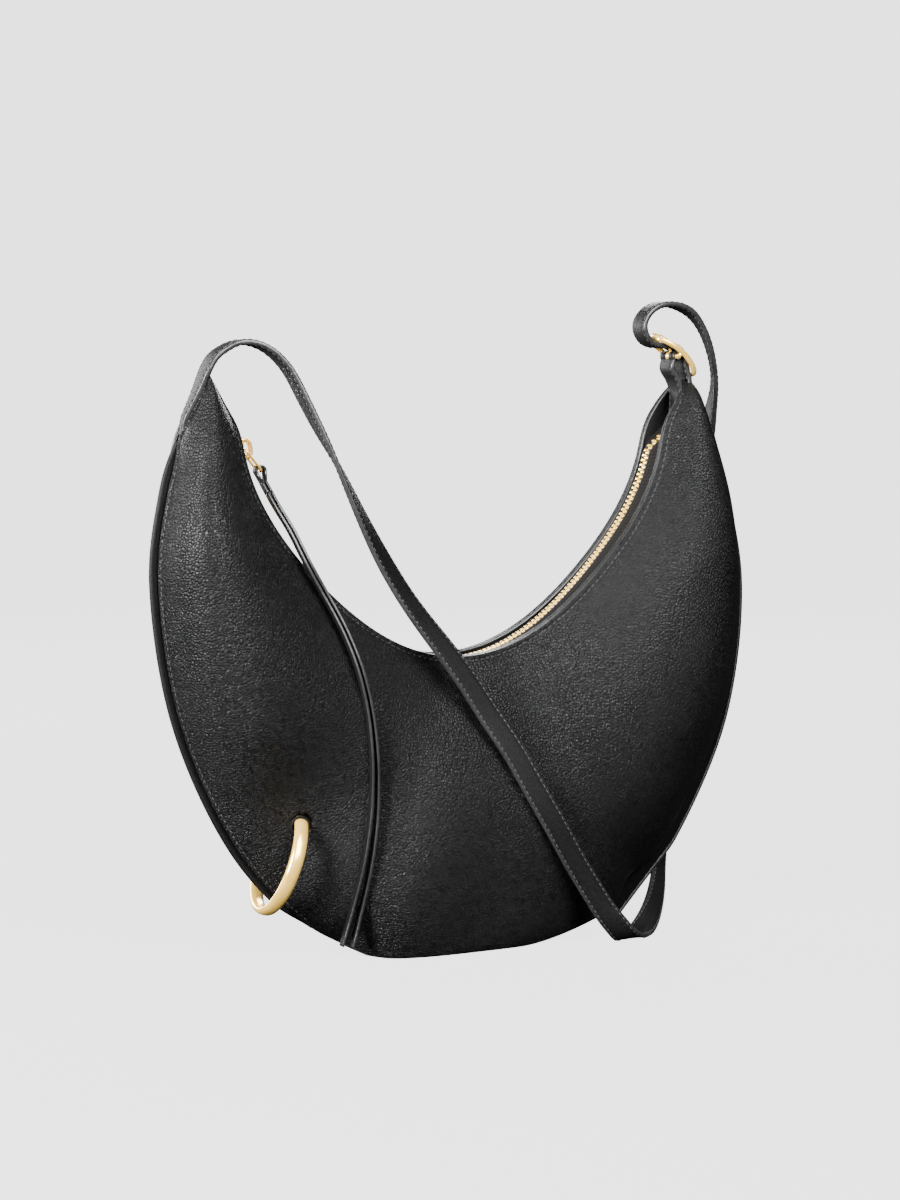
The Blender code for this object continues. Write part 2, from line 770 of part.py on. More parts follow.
def make_tape(collection, name, side):
    grid = []
    near = SLIDER_HALF_LENGTH / MOUTH_RADIUS
    fine = ceil(3 * near / SLIDER_ANGLE_STEP)
    count = ceil((TAPE_END - SLIDER_ANGLE - near) / ROW_ANGLE_STEP)
    start = SLIDER_ANGLE - 2 * near
    angles = [TAPE_START] + [start + 3 * near * i / fine for i in range(fine)]
    angles = [a for a in angles if a == TAPE_START or a > TAPE_START + SLIDER_ANGLE_STEP]
    angles += [SLIDER_ANGLE + near + (TAPE_END - SLIDER_ANGLE - near) * i / count for i in range(count + 1)]
    for angle in angles:
        s = station(place_at_angle(angle))
        inner = ROW_BACK + GAP + row_shift(angle)
        dip = dip_share(angle)
        top = chain_drop(angle) - TAPE / 2
        step = max(s["gap"] - 3 * GAP, SLIDER_HALF_WIDTH + 2 * GAP)
        under = max(top, LEATHER + 2 * GAP)
        edge = max(top, LEATHER + s["lip"] * LIP_SLOPE_share + 2 * GAP)
        reach = max(s["lip"] - LEATHER - 4 * GAP, 0.0) * (1 - dip)
        spots = [(inner, top), (SLIDER_HALF_WIDTH + GAP, top), (step, under), (step + 4 * GAP + reach, edge)]
        grid.append([Vector((0.0, -y * side, 0.0)) + mouth_place(angle, drop) for y, drop in spots])
    made = sheet_object(collection, name, grid, side > 0, TAPE)
    return dress(made, tape_cloth(), True)


def make_teeth(collection, name, side):
    """Row of teeth on its beaded edge, as one comb bent along the mouth."""
    pitch = TOOTH_PITCH / MOUTH_RADIUS
    half = TOOTH_LENGTH / MOUTH_RADIUS / 2
    phase = 0.0 if side > 0 else 0.5
    count = int((ROW_END - ROW_START) / pitch) - 1
    columns = []
    for k in range(count):
        middle = ROW_START + (k + 0.5 + phase) * pitch
        columns += [middle - half, middle + half]
    verts = []
    for angle in columns:
        shift = row_shift(angle)
        for y in (ROW_BACK, ROW_FRONT, -TOOTH_REACH):
            verts.append(mouth_place(angle, chain_drop(angle) - TOOTH_THICKNESS / 2)
                         + Vector((0.0, -(y + shift) * side, 0.0)))
    faces = []
    for k in range(len(columns) - 1):
        a = k * 3
        quads = [(a, a + 1, a + 4, a + 3)]
        if k % 2 == 0:
            quads.append((a + 1, a + 2, a + 5, a + 4))
        faces += [q[::-1] if side > 0 else q for q in quads]
    mesh = bpy.data.meshes.new(name)
    mesh.from_pydata([tuple(v) for v in verts], [], faces)
    mesh.update()
    loose = bmesh.new()
    loose.from_mesh(mesh)
    bmesh.ops.delete(loose, geom=[v for v in loose.verts if not v.link_faces], context="VERTS")
    loose.to_mesh(mesh)
    loose.free()
    made = link_object(collection, bpy.data.objects.new(name, mesh))
    solid = made.modifiers.new("tooth", "SOLIDIFY")
    solid.thickness = TOOTH_THICKNESS
    solid.offset = -1.0
    return dress(made, gold(), False)


def zip_frame(angle):
    """Frame on the zip line: x towards the buckle's horn, y to the back, z out of the bag."""
    centre = mouth_place(angle, chain_drop(angle))
    ahead = mouth_place(angle + 0.01, chain_drop(angle + 0.01))
    behind = mouth_place(angle - 0.01, chain_drop(angle - 0.01))
    x = (ahead - behind).normalized()
    y = Vector((0.0, 1.0, 0.0))
    z = x.cross(y)
    turn = Matrix((x, y, z)).transposed()
    return centre, turn


def make_stop(collection, name, angle, low, high, length):
    centre, turn = zip_frame(angle)
    middle = (low + high) / 2
    size = Vector((length, high - low, STOP_THICKNESS))
    made = box(collection, name, size, centre + turn @ Vector((0.0, middle, 0.0)), turn)
    return dress(made, gold(), False)


def channel_rings(sign):
    """Half of the slider: a plate with turned-in side walls, wide at the open end of the zip."""
    near = TOOTH_THICKNESS / 2 + GAP
    far = near + SLIDER_PLATE
    slot = SLIDER_SLOT / 2
    rings = []
    for f in (-1.0, -0.75, -0.35, 0.1, 0.55, 1.0):
        x = SLIDER_HALF_LENGTH * f
        angle = SLIDER_ANGLE + x / MOUTH_RADIUS
        inner = ROW_BACK + 1.5 * GAP + row_shift(angle - abs(f) * 0.1 * SLIDER_HALF_LENGTH / MOUTH_RADIUS)
        half = inner + SLIDER_WALL
        trim = SLIDER_PLATE * 0.35 if abs(f) == 1.0 else 0.0
        spots = [(-half, slot), (-half, far - trim), (half, far - trim), (half, slot),
                 (inner, slot), (inner, near), (-inner, near), (-inner, slot)]
        rings.append([Vector((x, y, z * sign)) for y, z in spots])
    return rings


def make_slider(collection, cutters):
    centre, turn = zip_frame(SLIDER_ANGLE)
    top = loft_object(collection, "zip_slider", channel_rings(1), gold())
    under = hide_cutter(loft_object(cutters, "slider_under", channel_rings(-1), gold()))
    reach = TOOTH_THICKNESS + 2 * GAP + SLIDER_PLATE
    start = -SLIDER_HALF_LENGTH * 0.97
    w = SLIDER_NECK_HALF
    ends = [(start, w), (start + SLIDER_NECK_LENGTH * 0.5, w), (start + SLIDER_NECK_LENGTH, w * 0.3)]
    outline = [(x, -y) for x, y in ends] + [(x, y) for x, y in ends[::-1]]
    rings = [[Vector((x, y, z)) for x, y in outline] for z in (-reach / 2, reach / 2)]
    neck = hide_cutter(loft_object(cutters, "slider_neck", rings, gold()))
    for thing in (top, under, neck):
        thing.matrix_world = Matrix.Translation(centre) @ turn.to_4x4()
    boolean(top, neck, "UNION")
    boolean(top, under, "UNION")
    return top


def link_pivot():
    """Middle of the link's upper bar, under the slider's bail."""
    centre, turn = zip_frame(SLIDER_ANGLE)
    height = TOOTH_THICKNESS / 2 + GAP + SLIDER_PLATE + GAP + LINK_WIRE
    return centre + turn @ Vector((0.0, 0.0, height)), turn


def make_bail(collection):
    pivot, turn = link_pivot()
    foot = -(LINK_WIRE + GAP) + GAP + BAIL_WIRE
    crown = LINK_WIRE + GAP + BAIL_SLACK + BAIL_WIRE
    shape = [(-1.0, 0.0), (-1.0, 0.35), (-0.8, 0.75), (-0.4, 1.0), (0.4, 1.0), (0.8, 0.75), (1.0, 0.35), (1.0, 0.0)]
    points = [pivot + turn @ Vector((BAIL_HALF_LENGTH * a, 0.0, foot - BAIL_WIRE + (crown - foot + BAIL_WIRE) * b))
              for a, b in shape]
    return tube(collection, "slider_bail", points, BAIL_WIRE, gold(), False)


def link_frame():
    """Link's frame at rest: x down its length."""
    pivot, turn = link_pivot()
    turned = turn @ Matrix.Rotation(-LINK_TURN, 3, "Y")
    return pivot, turned


def make_link(collection):
    pivot, turned = link_frame()
    r = (LINK_WIDTH - 2 * LINK_WIRE) / 2
    length = LINK_LENGTH - 2 * LINK_WIRE
    points = []
    corner = r * 0.7
    for cx, start in ((corner, pi), (length - corner, 0.0)):
        for k in range(9):
            a = start - pi / 2 + pi * k / 8
            points.append(pivot + turned @ Vector((cx + corner * cos(a), r * sin(a), 0.0)))
    made = tube(collection, "puller_link", points, LINK_WIRE, gold(), True)
    set_origin(made, pivot, turned)
    return made


def pull_eye():
    """Middle of the link's lower bar, inside the pull's loop."""
    pivot, turned = link_frame()
    return pivot + turned @ Vector((LINK_LENGTH - 2 * LINK_WIRE, 0.0, 0.0)), turned


def make_pull(collection):
    """One leather strip folded through the link, with both ends hanging down the front."""
    eye, turned = pull_eye()
    rows = [(x * LEFT_REACH, y * BELLY_HALF_DEPTH, z * BAG_HEIGHT) for x, y, z in PULL_ROUTE_shares]
    down = Vector(rows[0]) - eye
    down = Vector((down.x, 0.0, down.z)).normalized()
    start = eye + down * (PULL_LOOP_RADIUS * 2.2)
    rows = [tuple(start)] + rows
    middle = [Vector(r) for r in smooth_rows(rows, int(len(rows) * 1.8))]
    strand = []
    for i, p in enumerate(middle):
        ahead = middle[min(i + 1, len(middle) - 1)]
        behind = middle[max(i - 1, 0)]
        along = (ahead - behind).normalized()
        side = Vector((0.0, 1.0, 0.0)).cross(along).normalized()
        share = i / (len(middle) - 1)
        off = (PULL_THICKNESS + PULL_SPACE) / 2 + PULL_SPREAD * share ** 3
        strand.append((p, side, off))
    left = [p + side * off for p, side, off in strand]
    right = [p - side * off for p, side, off in strand]
    across = Vector((0.0, 1.0, 0.0)).cross(down).normalized()
    loop = []
    for k in range(1, 8):
        a = pi * k / 8
        loop.append(eye + (across * cos(a) - down * sin(a)) * PULL_LOOP_RADIUS)
    points = left[::-1] + loop + right
    out = []
    for i, p in enumerate(points):
        ahead = points[min(i + 1, len(points) - 1)]
        behind = points[max(i - 1, 0)]
        along = (ahead - behind).normalized()
        out.append(along.cross(Vector((0.0, 1.0, 0.0))).normalized())
    rings = ribbon_rings(points, out, PULL_WIDTH / 2, PULL_THICKNESS / 2, PULL_THICKNESS * 0.2)
    made = loft_object(collection, "leather_pull", rings, edge_leather())
    set_origin(made, eye, Matrix.Identity(3))
    return made


def ring_turn():
    hang, through, axis = ring_axes()
    return Matrix((hang, through, axis)).transposed()


def ring_profile(grow):
    """Half-round band section as radius and height, outer side first from the top."""
    t = RING_BAND_THICKNESS / 2 + grow
    w = RING_BAND_WIDTH / 2 + grow
    outer = [(t * cos(a), w * sin(a)) for a in (radians(75), radians(45), radians(15), radians(-15),
                                                 radians(-45), radians(-75))]
    inner = [(-t * 0.6, -w * 0.72), (-t * 0.85, -w * 0.3), (-t * 0.85, w * 0.3), (-t * 0.6, w * 0.72)]
    return [(RING_RADIUS + r, z) for r, z in outer + inner]


def make_ring(collection, name, grow, look):
    points = ring_profile(grow)
    mesh = bpy.data.meshes.new(name)
    edges = [(i, (i + 1) % len(points)) for i in range(len(points))]
    mesh.from_pydata([(r, 0.0, z) for r, z in points], edges, [])
    mesh.update()
    made = link_object(collection, bpy.data.objects.new(name, mesh))
    spin = made.modifiers.new("spin", "SCREW")
    spin.axis = "Z"
    spin.angle = 2 * pi
    spin.steps = RING_STEPS
    spin.render_steps = RING_STEPS
    spin.use_merge_vertices = True
    spin.merge_threshold = RING_BAND_THICKNESS / 100
    spin.use_smooth_shade = True
    made.matrix_world = Matrix.Translation(Vector((RING_X, 0.0, RING_Z))) @ ring_turn().to_4x4()
    if look:
        mesh.materials.append(look)
    return made


def buckle_frame_axes():
    """Buckle's frame: x along the strap's way through it, y to the back, z out of its arch."""
    x = Vector((cos(BUCKLE_TILT), 0.0, -sin(BUCKLE_TILT)))
    y = Vector((0.0, 1.0, 0.0))
    turn = Matrix((x, y, x.cross(y))).transposed()
    return Vector((BUCKLE_X, 0.0, BUCKLE_Z)), turn


def strap_points():
    """Strap's middle line with its outer face's direction, from its sewn end to its tail."""
    rows = []
    place = 0.0
    run = 0.0
    sewn = []
    step = 0.05
    lift = STRAP_THICKNESS / 2 + 3 * GAP
    while run < STRAP_SEWN_LENGTH:
        a = station(place)["outer"]
        b = station(place + step)["outer"]
        along = (a - b).normalized()
        out = Vector((-along.z, 0.0, along.x))
        if out.x > 0:
            out = -out
        if not sewn or (a - sewn[-1][2]).length > STRAP_SEWN_LENGTH / 5:
            sewn.append((a + out * lift, out, a.copy()))
        run += (b - a).length
        place += step
    for p, out, _ in sewn[::-1][:-1]:
        rows.append((*p, *out))
    for x, y, z, nx, ny, nz in STRAP_ROUTE_shares:
        rows.append((x * RIGHT_REACH, y * BELLY_HALF_DEPTH, z * BAG_HEIGHT, nx, ny, nz))
    middle, turn = buckle_frame_axes()
    for u, h in STRAP_THREAD_shares:
        p = middle + turn @ Vector((u * BUCKLE_HALF_LENGTH, 0.0, h * BUCKLE_HALF_LENGTH))
        n = turn @ Vector((0.0, 0.0, -1.0))
        rows.append((*p, *n))
    for x, z, nx, nz in STRAP_TAIL_shares:
        rows.append((x * RIGHT_REACH, 0.0, z * BAG_HEIGHT, nx, 0.0, nz))
    return rows


def make_strap(collection, cutters):
    rows = strap_points()
    samples = smooth_rows(rows, int(len(rows) * 1.4))
    points = [Vector(r[:3]) for r in samples]
    out = [Vector(r[3:]).normalized() for r in samples]
    rings = ribbon_rings(points, out, STRAP_WIDTH / 2, STRAP_THICKNESS / 2, STRAP_CHAMFER)
    made = loft_object(collection, "shoulder_strap", rings, leather())
    middle, turn = buckle_frame_axes()
    low, high = (share * BUCKLE_HALF_LENGTH for share in PRONG_SLOT_shares)
    size = Vector((high - low, 2 * STRAP_SLOT_HALF_WIDTH, 4 * STRAP_THICKNESS))
    centre = middle + turn @ Vector(((low + high) / 2, 0.0, 0.2 * BUCKLE_HALF_LENGTH))
    slot = hide_cutter(box(cutters, "prong_slot", size, centre, turn))
    boolean(made, slot, "DIFFERENCE")
    far = 0.0
    for i in range(len(points) - 1, 0, -1):
        step = (points[i] - points[i - 1]).length
        if far == 0.0 and min((points[j] - middle).length for j in (i, i - 1)) < BUCKLE_HALF_LENGTH:
            continue
        for k in range(1, STRAP_HOLE_COUNT + 1):
            if far < k * STRAP_HOLE_STEP <= far + step:
                spot = points[i].lerp(points[i - 1], (k * STRAP_HOLE_STEP - far) / step)
                hole = hide_cutter(cylinder(cutters, "strap_hole_%d" % k, STRAP_HOLE_RADIUS, 3 * STRAP_THICKNESS,
                                            spot, out[i], 12))
                boolean(made, hole, "DIFFERENCE")
        far += step
    return made


def make_buckle(collection, cutters):
    middle, turn = buckle_frame_axes()
    points = []
    for k in range(28):
        a = 2 * pi * k / 28
        u = BUCKLE_HALF_LENGTH * cos(a)
        y = BUCKLE_HALF_WIDTH * copysign(abs(sin(a)) ** BUCKLE_SQUARE_share, sin(a))
        h = BUCKLE_ARCH * (1 - (u / BUCKLE_HALF_LENGTH) ** 2)
        points.append(middle + turn @ Vector((u, y, h)))
    frame = tube(collection, "buckle_frame", points, BUCKLE_WIRE, gold(), True)
    ends = []
    for y, h in ((-1.0, 0.85), (-0.86, 0.25), (-0.72, 0.0), (0.72, 0.0), (0.86, 0.25), (1.0, 0.85)):
        ends.append(middle + turn @ Vector((0.0, y * BUCKLE_HALF_WIDTH, h * BUCKLE_ARCH)))
    bar = hide_cutter(tube(cutters, "buckle_bar", ends, BAR_RADIUS, gold(), False))
    boolean(frame, bar, "UNION")
    set_origin(frame, middle, turn)
    return frame


def make_prong(collection, cutters):
    middle, turn = buckle_frame_axes()
    across = turn @ Vector((0.0, 1.0, 0.0))
    eye = cylinder(collection, "buckle_prong", PRONG_EYE_RADIUS, 2 * PRONG_EYE_HALF_WIDTH, middle, across, 20)
    dress(eye, gold(), True)
    points = [middle + turn @ Vector((u * BUCKLE_HALF_LENGTH, 0.0, h * BUCKLE_HALF_LENGTH)) for u, h in PRONG_shares]
    points[0] = middle + turn @ Vector((-BAR_RADIUS, 0.0, BAR_RADIUS + GAP))
    shank = hide_cutter(tube(cutters, "prong_shank", points, PRONG_RADIUS, gold(), False))
    bore = hide_cutter(cylinder(cutters, "prong_bore", BAR_RADIUS + GAP, STRAP_WIDTH, middle, across, 20))
    boolean(eye, shank, "UNION")
    boolean(eye, bore, "DIFFERENCE")
    set_origin(eye, middle, turn)
    return eye


def make_tab(collection, cutters):
    """Leather tab folded round the buckle's bar, with both layers going down into the horn."""
    middle, turn = buckle_frame_axes()
    across = turn @ Vector((0.0, 1.0, 0.0))
    start = Vector((middle.x - TAB_EYE_RADIUS * 0.35, 0.0, middle.z - TAB_EYE_RADIUS * 0.55))
    points = []
    out = []
    for aside, down in smooth_rows(TAB_ROUTE_shares, 2 * len(TAB_ROUTE_shares)):
        points.append(start + Vector((aside, 0.0, -down)) * TAB_LENGTH)
        out.append(Vector((-1.0, 0.0, 0.0)))
    rings = ribbon_rings(points, out, STRAP_WIDTH / 2, TAB_THICKNESS / 2, STRAP_CHAMFER)
    made = loft_object(collection, "buckle_tab", rings, leather())
    fold = hide_cutter(cylinder(cutters, "tab_fold", TAB_EYE_RADIUS, STRAP_WIDTH - STRAP_CHAMFER, middle, across, 24))
    bore = hide_cutter(cylinder(cutters, "tab_bore", BAR_RADIUS + GAP, 2 * STRAP_WIDTH, middle, across, 24))
    reach = 4 * TAB_EYE_RADIUS
    slot = hide_cutter(box(cutters, "tab_slot", Vector((reach, 2 * TAB_SLOT_HALF_WIDTH, reach)),
                           middle + Vector((0.0, 0.0, reach * 0.22)), Matrix.Identity(3)))
    boolean(made, fold, "UNION")
    boolean(made, bore, "DIFFERENCE")
    boolean(made, slot, "DIFFERENCE")
    return made


def main():
    clear_scene()
    collection = bpy.data.collections.new("crossbody_bag")
    cutters = bpy.data.collections.new("cutters")
    for group in (collection, cutters):
        bpy.context.scene.collection.children.link(group)
    ring_cutter = hide_cutter(make_ring(cutters, "ring_way", RING_HOLE_CLEARANCE, None))
    make_panel(collection, "front_panel", 1, ring_cutter)
    make_panel(collection, "back_panel", -1, ring_cutter)
    make_base(collection, "base_panel", LEATHER + 2 * GAP, LEATHER, LEATHER, leather())
    make_base(collection, "base_board", LEATHER + 6 * GAP, LEATHER + GAP + BOARD, BOARD, board())
    make_lining(collection, "front_lining", 1, ring_cutter)
    make_lining(collection, "back_lining", -1, ring_cutter)
    left_corner = place_at_angle(radians(-12))
    right_corner = place_at_angle(radians(13.5))
    make_welt(collection, "left_welt", 2.75, left_corner, False)
    make_welt(collection, "right_welt", len(OUTLINE_shares) - 1.8, right_corner, True)
    for side, word in ((1, "front"), (-1, "back")):
        make_tape(collection, word + "_zip_tape", side)
        make_teeth(collection, word + "_zip_teeth", side)
        low = ROW_SPREAD + ROW_FRONT - GAP
        high = ROW_SPREAD + ROW_BACK + GAP / 2
        angle = ROW_START - STOP_LENGTH / MOUTH_RADIUS * 0.6
        ends = (-high, -low) if side > 0 else (low, high)
        make_stop(collection, word + "_top_stop", angle, *ends, STOP_LENGTH)
        make_facing(collection, cutters, word + "_ring_facing", side, ring_cutter)
    make_stop(collection, "bottom_stop", ROW_END + BOTTOM_STOP_LENGTH / MOUTH_RADIUS * 0.75,
              -ROW_BACK, ROW_BACK, BOTTOM_STOP_LENGTH)
    slider = make_slider(collection, cutters)
    bail = make_bail(collection)
    pivot = link_object(collection, bpy.data.objects.new("slider_travel_pivot", None))
    pivot.location = (MOUTH_CENTRE_X, 0.0, MOUTH_CENTRE_Z)
    bpy.context.view_layer.update()
    for thing in (slider, bail):
        thing.parent = pivot
        thing.matrix_parent_inverse = pivot.matrix_world.inverted()
    make_link(collection)
    make_pull(collection)
    make_ring(collection, "corner_ring", 0.0, gold())
    make_strap(collection, cutters)
    make_tab(collection, cutters)
    make_buckle(collection, cutters)
    make_prong(collection, cutters)


main()
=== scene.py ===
"""Looks of the crescent crossbody bag: leather shells, stitching, zip, strap and gold fittings.

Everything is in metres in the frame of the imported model: X from the slider's horn to the buckle's
horn, the front faces -Y, +Z up, with the ground at zero.
"""
import bpy
import bmesh
import numpy as np
from math import ceil, copysign, cos, exp, floor, hypot, pi, radians, sin, tanh
from mathutils import Matrix, Vector, noise


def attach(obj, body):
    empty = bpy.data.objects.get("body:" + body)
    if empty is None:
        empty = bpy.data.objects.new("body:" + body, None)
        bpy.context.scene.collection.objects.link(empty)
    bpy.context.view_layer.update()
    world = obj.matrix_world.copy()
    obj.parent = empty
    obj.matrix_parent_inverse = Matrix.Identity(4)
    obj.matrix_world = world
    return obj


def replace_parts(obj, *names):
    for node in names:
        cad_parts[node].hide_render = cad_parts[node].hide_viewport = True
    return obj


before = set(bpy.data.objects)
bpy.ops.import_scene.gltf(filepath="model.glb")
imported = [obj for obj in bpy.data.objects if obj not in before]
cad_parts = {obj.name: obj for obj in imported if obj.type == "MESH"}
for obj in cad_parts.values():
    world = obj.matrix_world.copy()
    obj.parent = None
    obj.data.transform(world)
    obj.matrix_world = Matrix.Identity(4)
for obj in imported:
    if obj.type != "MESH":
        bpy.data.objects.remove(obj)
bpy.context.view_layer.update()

# Camera of the photograph
PHOTO_WIDTH = 900
PHOTO_HEIGHT = 1200
PHOTO_FOCAL = 2700
SENSOR = 0.036
CAMERA_AZIMUTH = radians(-28)
CAMERA_ELEVATION = radians(5)
CAMERA_NEAR = 0.05
CAMERA_FAR = 60.0
CAMERA_DISTANCE = 1.431
CAMERA_TARGET = Vector((0.0023, 0.0, 0.1842))

# Studio
FLOOR_GLOW = 2.75
ROOM_FRONT = (-0.2, -0.88, 0.43)
ROOM_FRONT_GLOW = 1.35
ROOM_BACK_GLOW = 0.8
# Lights: name, place, target, width and height, power in watts
LIGHTS = (
    ("key", (0.08, -1.35, 1.10), (0.0, 0.0, 0.16), (1.1, 1.2), 130.0),
    ("side", (-1.40, -0.45, 0.55), (-0.1, 0.0, 0.24), (0.35, 0.6), 160.0),
    ("back", (0.9, 1.3, 0.9), (0.1, 0.0, 0.15), (0.8, 0.8), 40.0),
    ("rear", (-0.7, 1.5, 0.5), (0.0, 0.0, 0.15), (1.0, 0.8), 60.0),
)
FLOOR_HALF_WIDTH = 7.0
FLOOR_DEPTH = 6.0
FLOOR_BEND = 2.0
FLOOR_BEND_STEPS = 24
WALL_HEIGHT = 6.0
LEATHER_SPECULAR = 0.115
# Low specular that keeps the right welt's painted shade dark.
WELT_SHADE_SPECULAR = 0.03
EDGE_SPECULAR = 0.4
CLOTH_SPECULAR = 0.1

# Shell of the bag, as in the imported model
MOUTH_RADIUS = 0.1215
MOUTH_CENTRE_X = 0.003
MOUTH_DROP = 0.024
BAG_HEIGHT = 0.305
LEFT_WIDTH = 0.049
RIGHT_WIDTH = 0.0635
LEFT_REACH = MOUTH_RADIUS - MOUTH_CENTRE_X + LEFT_WIDTH
RIGHT_REACH = MOUTH_RADIUS + MOUTH_CENTRE_X + RIGHT_WIDTH
BELLY_HALF_DEPTH = 0.040
TIP_HALF_DEPTH = 0.0095
DEPTH_GROWTH = 0.075
BASE_HALF_DEPTH = 0.028
BASE_LEFT_LENGTH = 0.062
BASE_RIGHT_LENGTH = 0.112
LEATHER = 0.0016
GAP = 0.0003
OUTLINE_shares = [
    (-99.5, -0.818, 0.991),
    (-92.0, -0.872, 0.932),
    (-87.3, -0.914, 0.886),
    (-77.5, -0.966, 0.805),
    (-57.0, -1.000, 0.645),
    (-34.0, -0.930, 0.413),
    (-20.0, -0.745, 0.195),
    (-11.0, -0.500, 0.052),
    (-6.0, -0.290, 0.000),
    (0.0, 0.000, 0.000),
    (5.0, 0.180, 0.000),
    (9.0, 0.400, 0.026),
    (14.0, 0.638, 0.070),
    (21.0, 0.779, 0.152),
    (36.0, 0.950, 0.365),
    (58.0, 1.000, 0.616),
    (84.0, 0.915, 0.845),
    (91.0, 0.872, 0.920),
    (97.7, 0.835, 0.980),
]
LAST_ROW = len(OUTLINE_shares) - 1
BELLY_PLACE_share = 0.58
BASE_BLUNT_share = 3.0
BASE_ROUND_share = 0.6
BASE_END_share = 0.88
SEAM_SLOPE_share = 0.78
SEAM_START_share = 0.85
SEAM_SPAN_share = 0.2

# Mouth and zip line
MOUTH_CENTRE_Z = BAG_HEIGHT - MOUTH_DROP
MOUTH_WAVE = 0.0038
LEFT_FLARE = 0.015
RIGHT_FLARE = 0.024
FLARE_SPAN = radians(15)
ZIP_END = radians(84)
MOUTH_HALF_GAP = 0.0088
TIP_HALF_GAP = 0.0074
GAP_GROWTH = 0.030
LIP_WIDTH = 0.005
LIP_SLOPE_share = 0.15
LIP_GROWTH = 0.050
ZIP_CLOSE_DEGREES = 86.6
ZIP_CLOSE_SPAN = 9.0

# Welt
WELT_THICKNESS = 0.0030
WELT_WIDTH = 0.0048
WELT_ROOT = 0.0030
EAR_WIDTH = 0.0050
EAR_SWELL = 0.0165
EAR_BEND = Vector((0.1255, 0.0, 0.0235))
EAR_END = Vector((0.1077, 0.0, 0.0041))
EAR_RINGS = 30
SEAM_HALF = WELT_THICKNESS / 2 + GAP + LEATHER

# Ring through the lower corner
RING_RADIUS = 0.027
RING_PLACE_share = 0.585
RING_X = -RING_PLACE_share * LEFT_REACH
RING_Z = 0.0534
RING_LEAN = radians(20)
RING_YAW = radians(-8)
RING_BAND_WIDTH = 0.0062
RING_BAND_THICKNESS = 0.0036
RING_SIDES = 28
RING_STEPS = 128
RING_INNER_share = 0.82
RING_ROUND_share = 0.9
RING_FLAT_share = 0.8
RING_HOLE_SIDE = 0.0024
RING_HOLE_DEPTH = 0.0044
HOLE_DROP_share = 0.78
HOLE_REACH_share = 0.62
PINCH_SHARE = 0.56
PINCH_SPREAD = 0.034

# Zip
TAPE = 0.0006
CHAIN_RISE = 0.0010
CHAIN_DIP = 0.0120
CHAIN_SAG = 0.0036
SAG_SPREAD = radians(34)
DIP_START = radians(80)
DIP_SPAN = radians(9)
TAPE_START = radians(-87.1)
TAPE_END = radians(88.6)
ROW_START = radians(-85.9)
ROW_END = radians(87.2)
TOOTH_PITCH = 0.0027
TOOTH_LENGTH = 0.00125
TOOTH_THICKNESS = 0.0018
TOOTH_REACH = 0.0008
TOOTH_CUT_share = 0.45
TOOTH_LEG_share = 0.4
LEG_LENGTH_share = 0.72
LEG_THICKNESS_share = 0.8
TOOTH_BEVEL_share = 0.2
ROW_FRONT = 0.0019
ROW_BACK = 0.0030
ROW_SPREAD = 0.0017
TAPE_RINGS = 320
TAPE_STITCH_PITCH = 0.0028
BEAD_WIRE = 0.0006
BEAD_INSET = 0.0002
BEAD_POINTS = 300

# Slider, link and leather pull
SLIDER_ANGLE = radians(-82.7)
SLIDER_HALF_LENGTH = 0.0058
SLIDER_PLATE = 0.0010
SLIDER_WALL = 0.0008
SLIDER_SLOT_HALF = 0.0007
SLIDER_CHAMFER = 0.0002
SLIDER_RINGS = 33
SLIDER_EDGE_share = 0.96
SLIDER_TOP_share = 0.85
NECK_PLACE_share = 0.7
NECK_HALF_LENGTH = 0.0018
NECK_HALF_WIDTH = 0.0006
BAIL_WIRE = 0.0009
BAIL_HALF_LENGTH = 0.0038
BAIL_SLACK = 0.0008
LINK_WIRE = 0.0007
LINK_LENGTH = 0.0162
LINK_WIDTH = 0.0074
LINK_TURN = radians(29)
PULL_THICKNESS = 0.0015
PULL_WIDTH = 0.0038
PULL_SPACE = 0.0006
PULL_LOOP_RADIUS = 0.0026
PULL_SPREAD = 0.0020
PULL_ROUTE_shares = [
    (-0.6080, -0.200, 0.7770),
    (-0.5760, -0.375, 0.7354),
    (-0.5400, -0.500, 0.6848),
    (-0.4870, -0.540, 0.6314),
    (-0.4360, -0.640, 0.5738),
    (-0.3930, -0.750, 0.5049),
    (-0.3634, -0.790, 0.4306),
    (-0.3513, -0.815, 0.3608),
    (-0.3456, -0.780, 0.3016),
    (-0.3502, -0.765, 0.2432),
    (-0.3656, -0.722, 0.1729),
    (-0.3846, -0.600, 0.1004),
    (-0.4173, -0.560, 0.0300),
]

# Strap, buckle and tab
STRAP_WIDTH = 0.013
STRAP_THICKNESS = 0.0030
STRAP_SEWN_LENGTH = 0.038
BUCKLE_PLACE_share = 0.742
BUCKLE_RISE = 0.0080
BUCKLE_X = BUCKLE_PLACE_share * RIGHT_REACH
BUCKLE_Z = BAG_HEIGHT + BUCKLE_RISE
BUCKLE_TILT = radians(39)
BUCKLE_HALF_LENGTH = 0.0155
BUCKLE_HALF_WIDTH = 0.0099
BUCKLE_WIRE = 0.0012
BUCKLE_ARCH = 0.0027
BUCKLE_SQUARE_share = 0.5
BAR_RADIUS = 0.0012
PRONG_RADIUS = 0.0010
PRONG_EYE_RADIUS = 0.0026
PRONG_EYE_HALF_WIDTH = 0.0014
TAB_EYE_RADIUS = 0.0030
TAB_THICKNESS = 0.0028
TAB_LENGTH = 0.033
TAB_SLOT_HALF_WIDTH = 0.0019
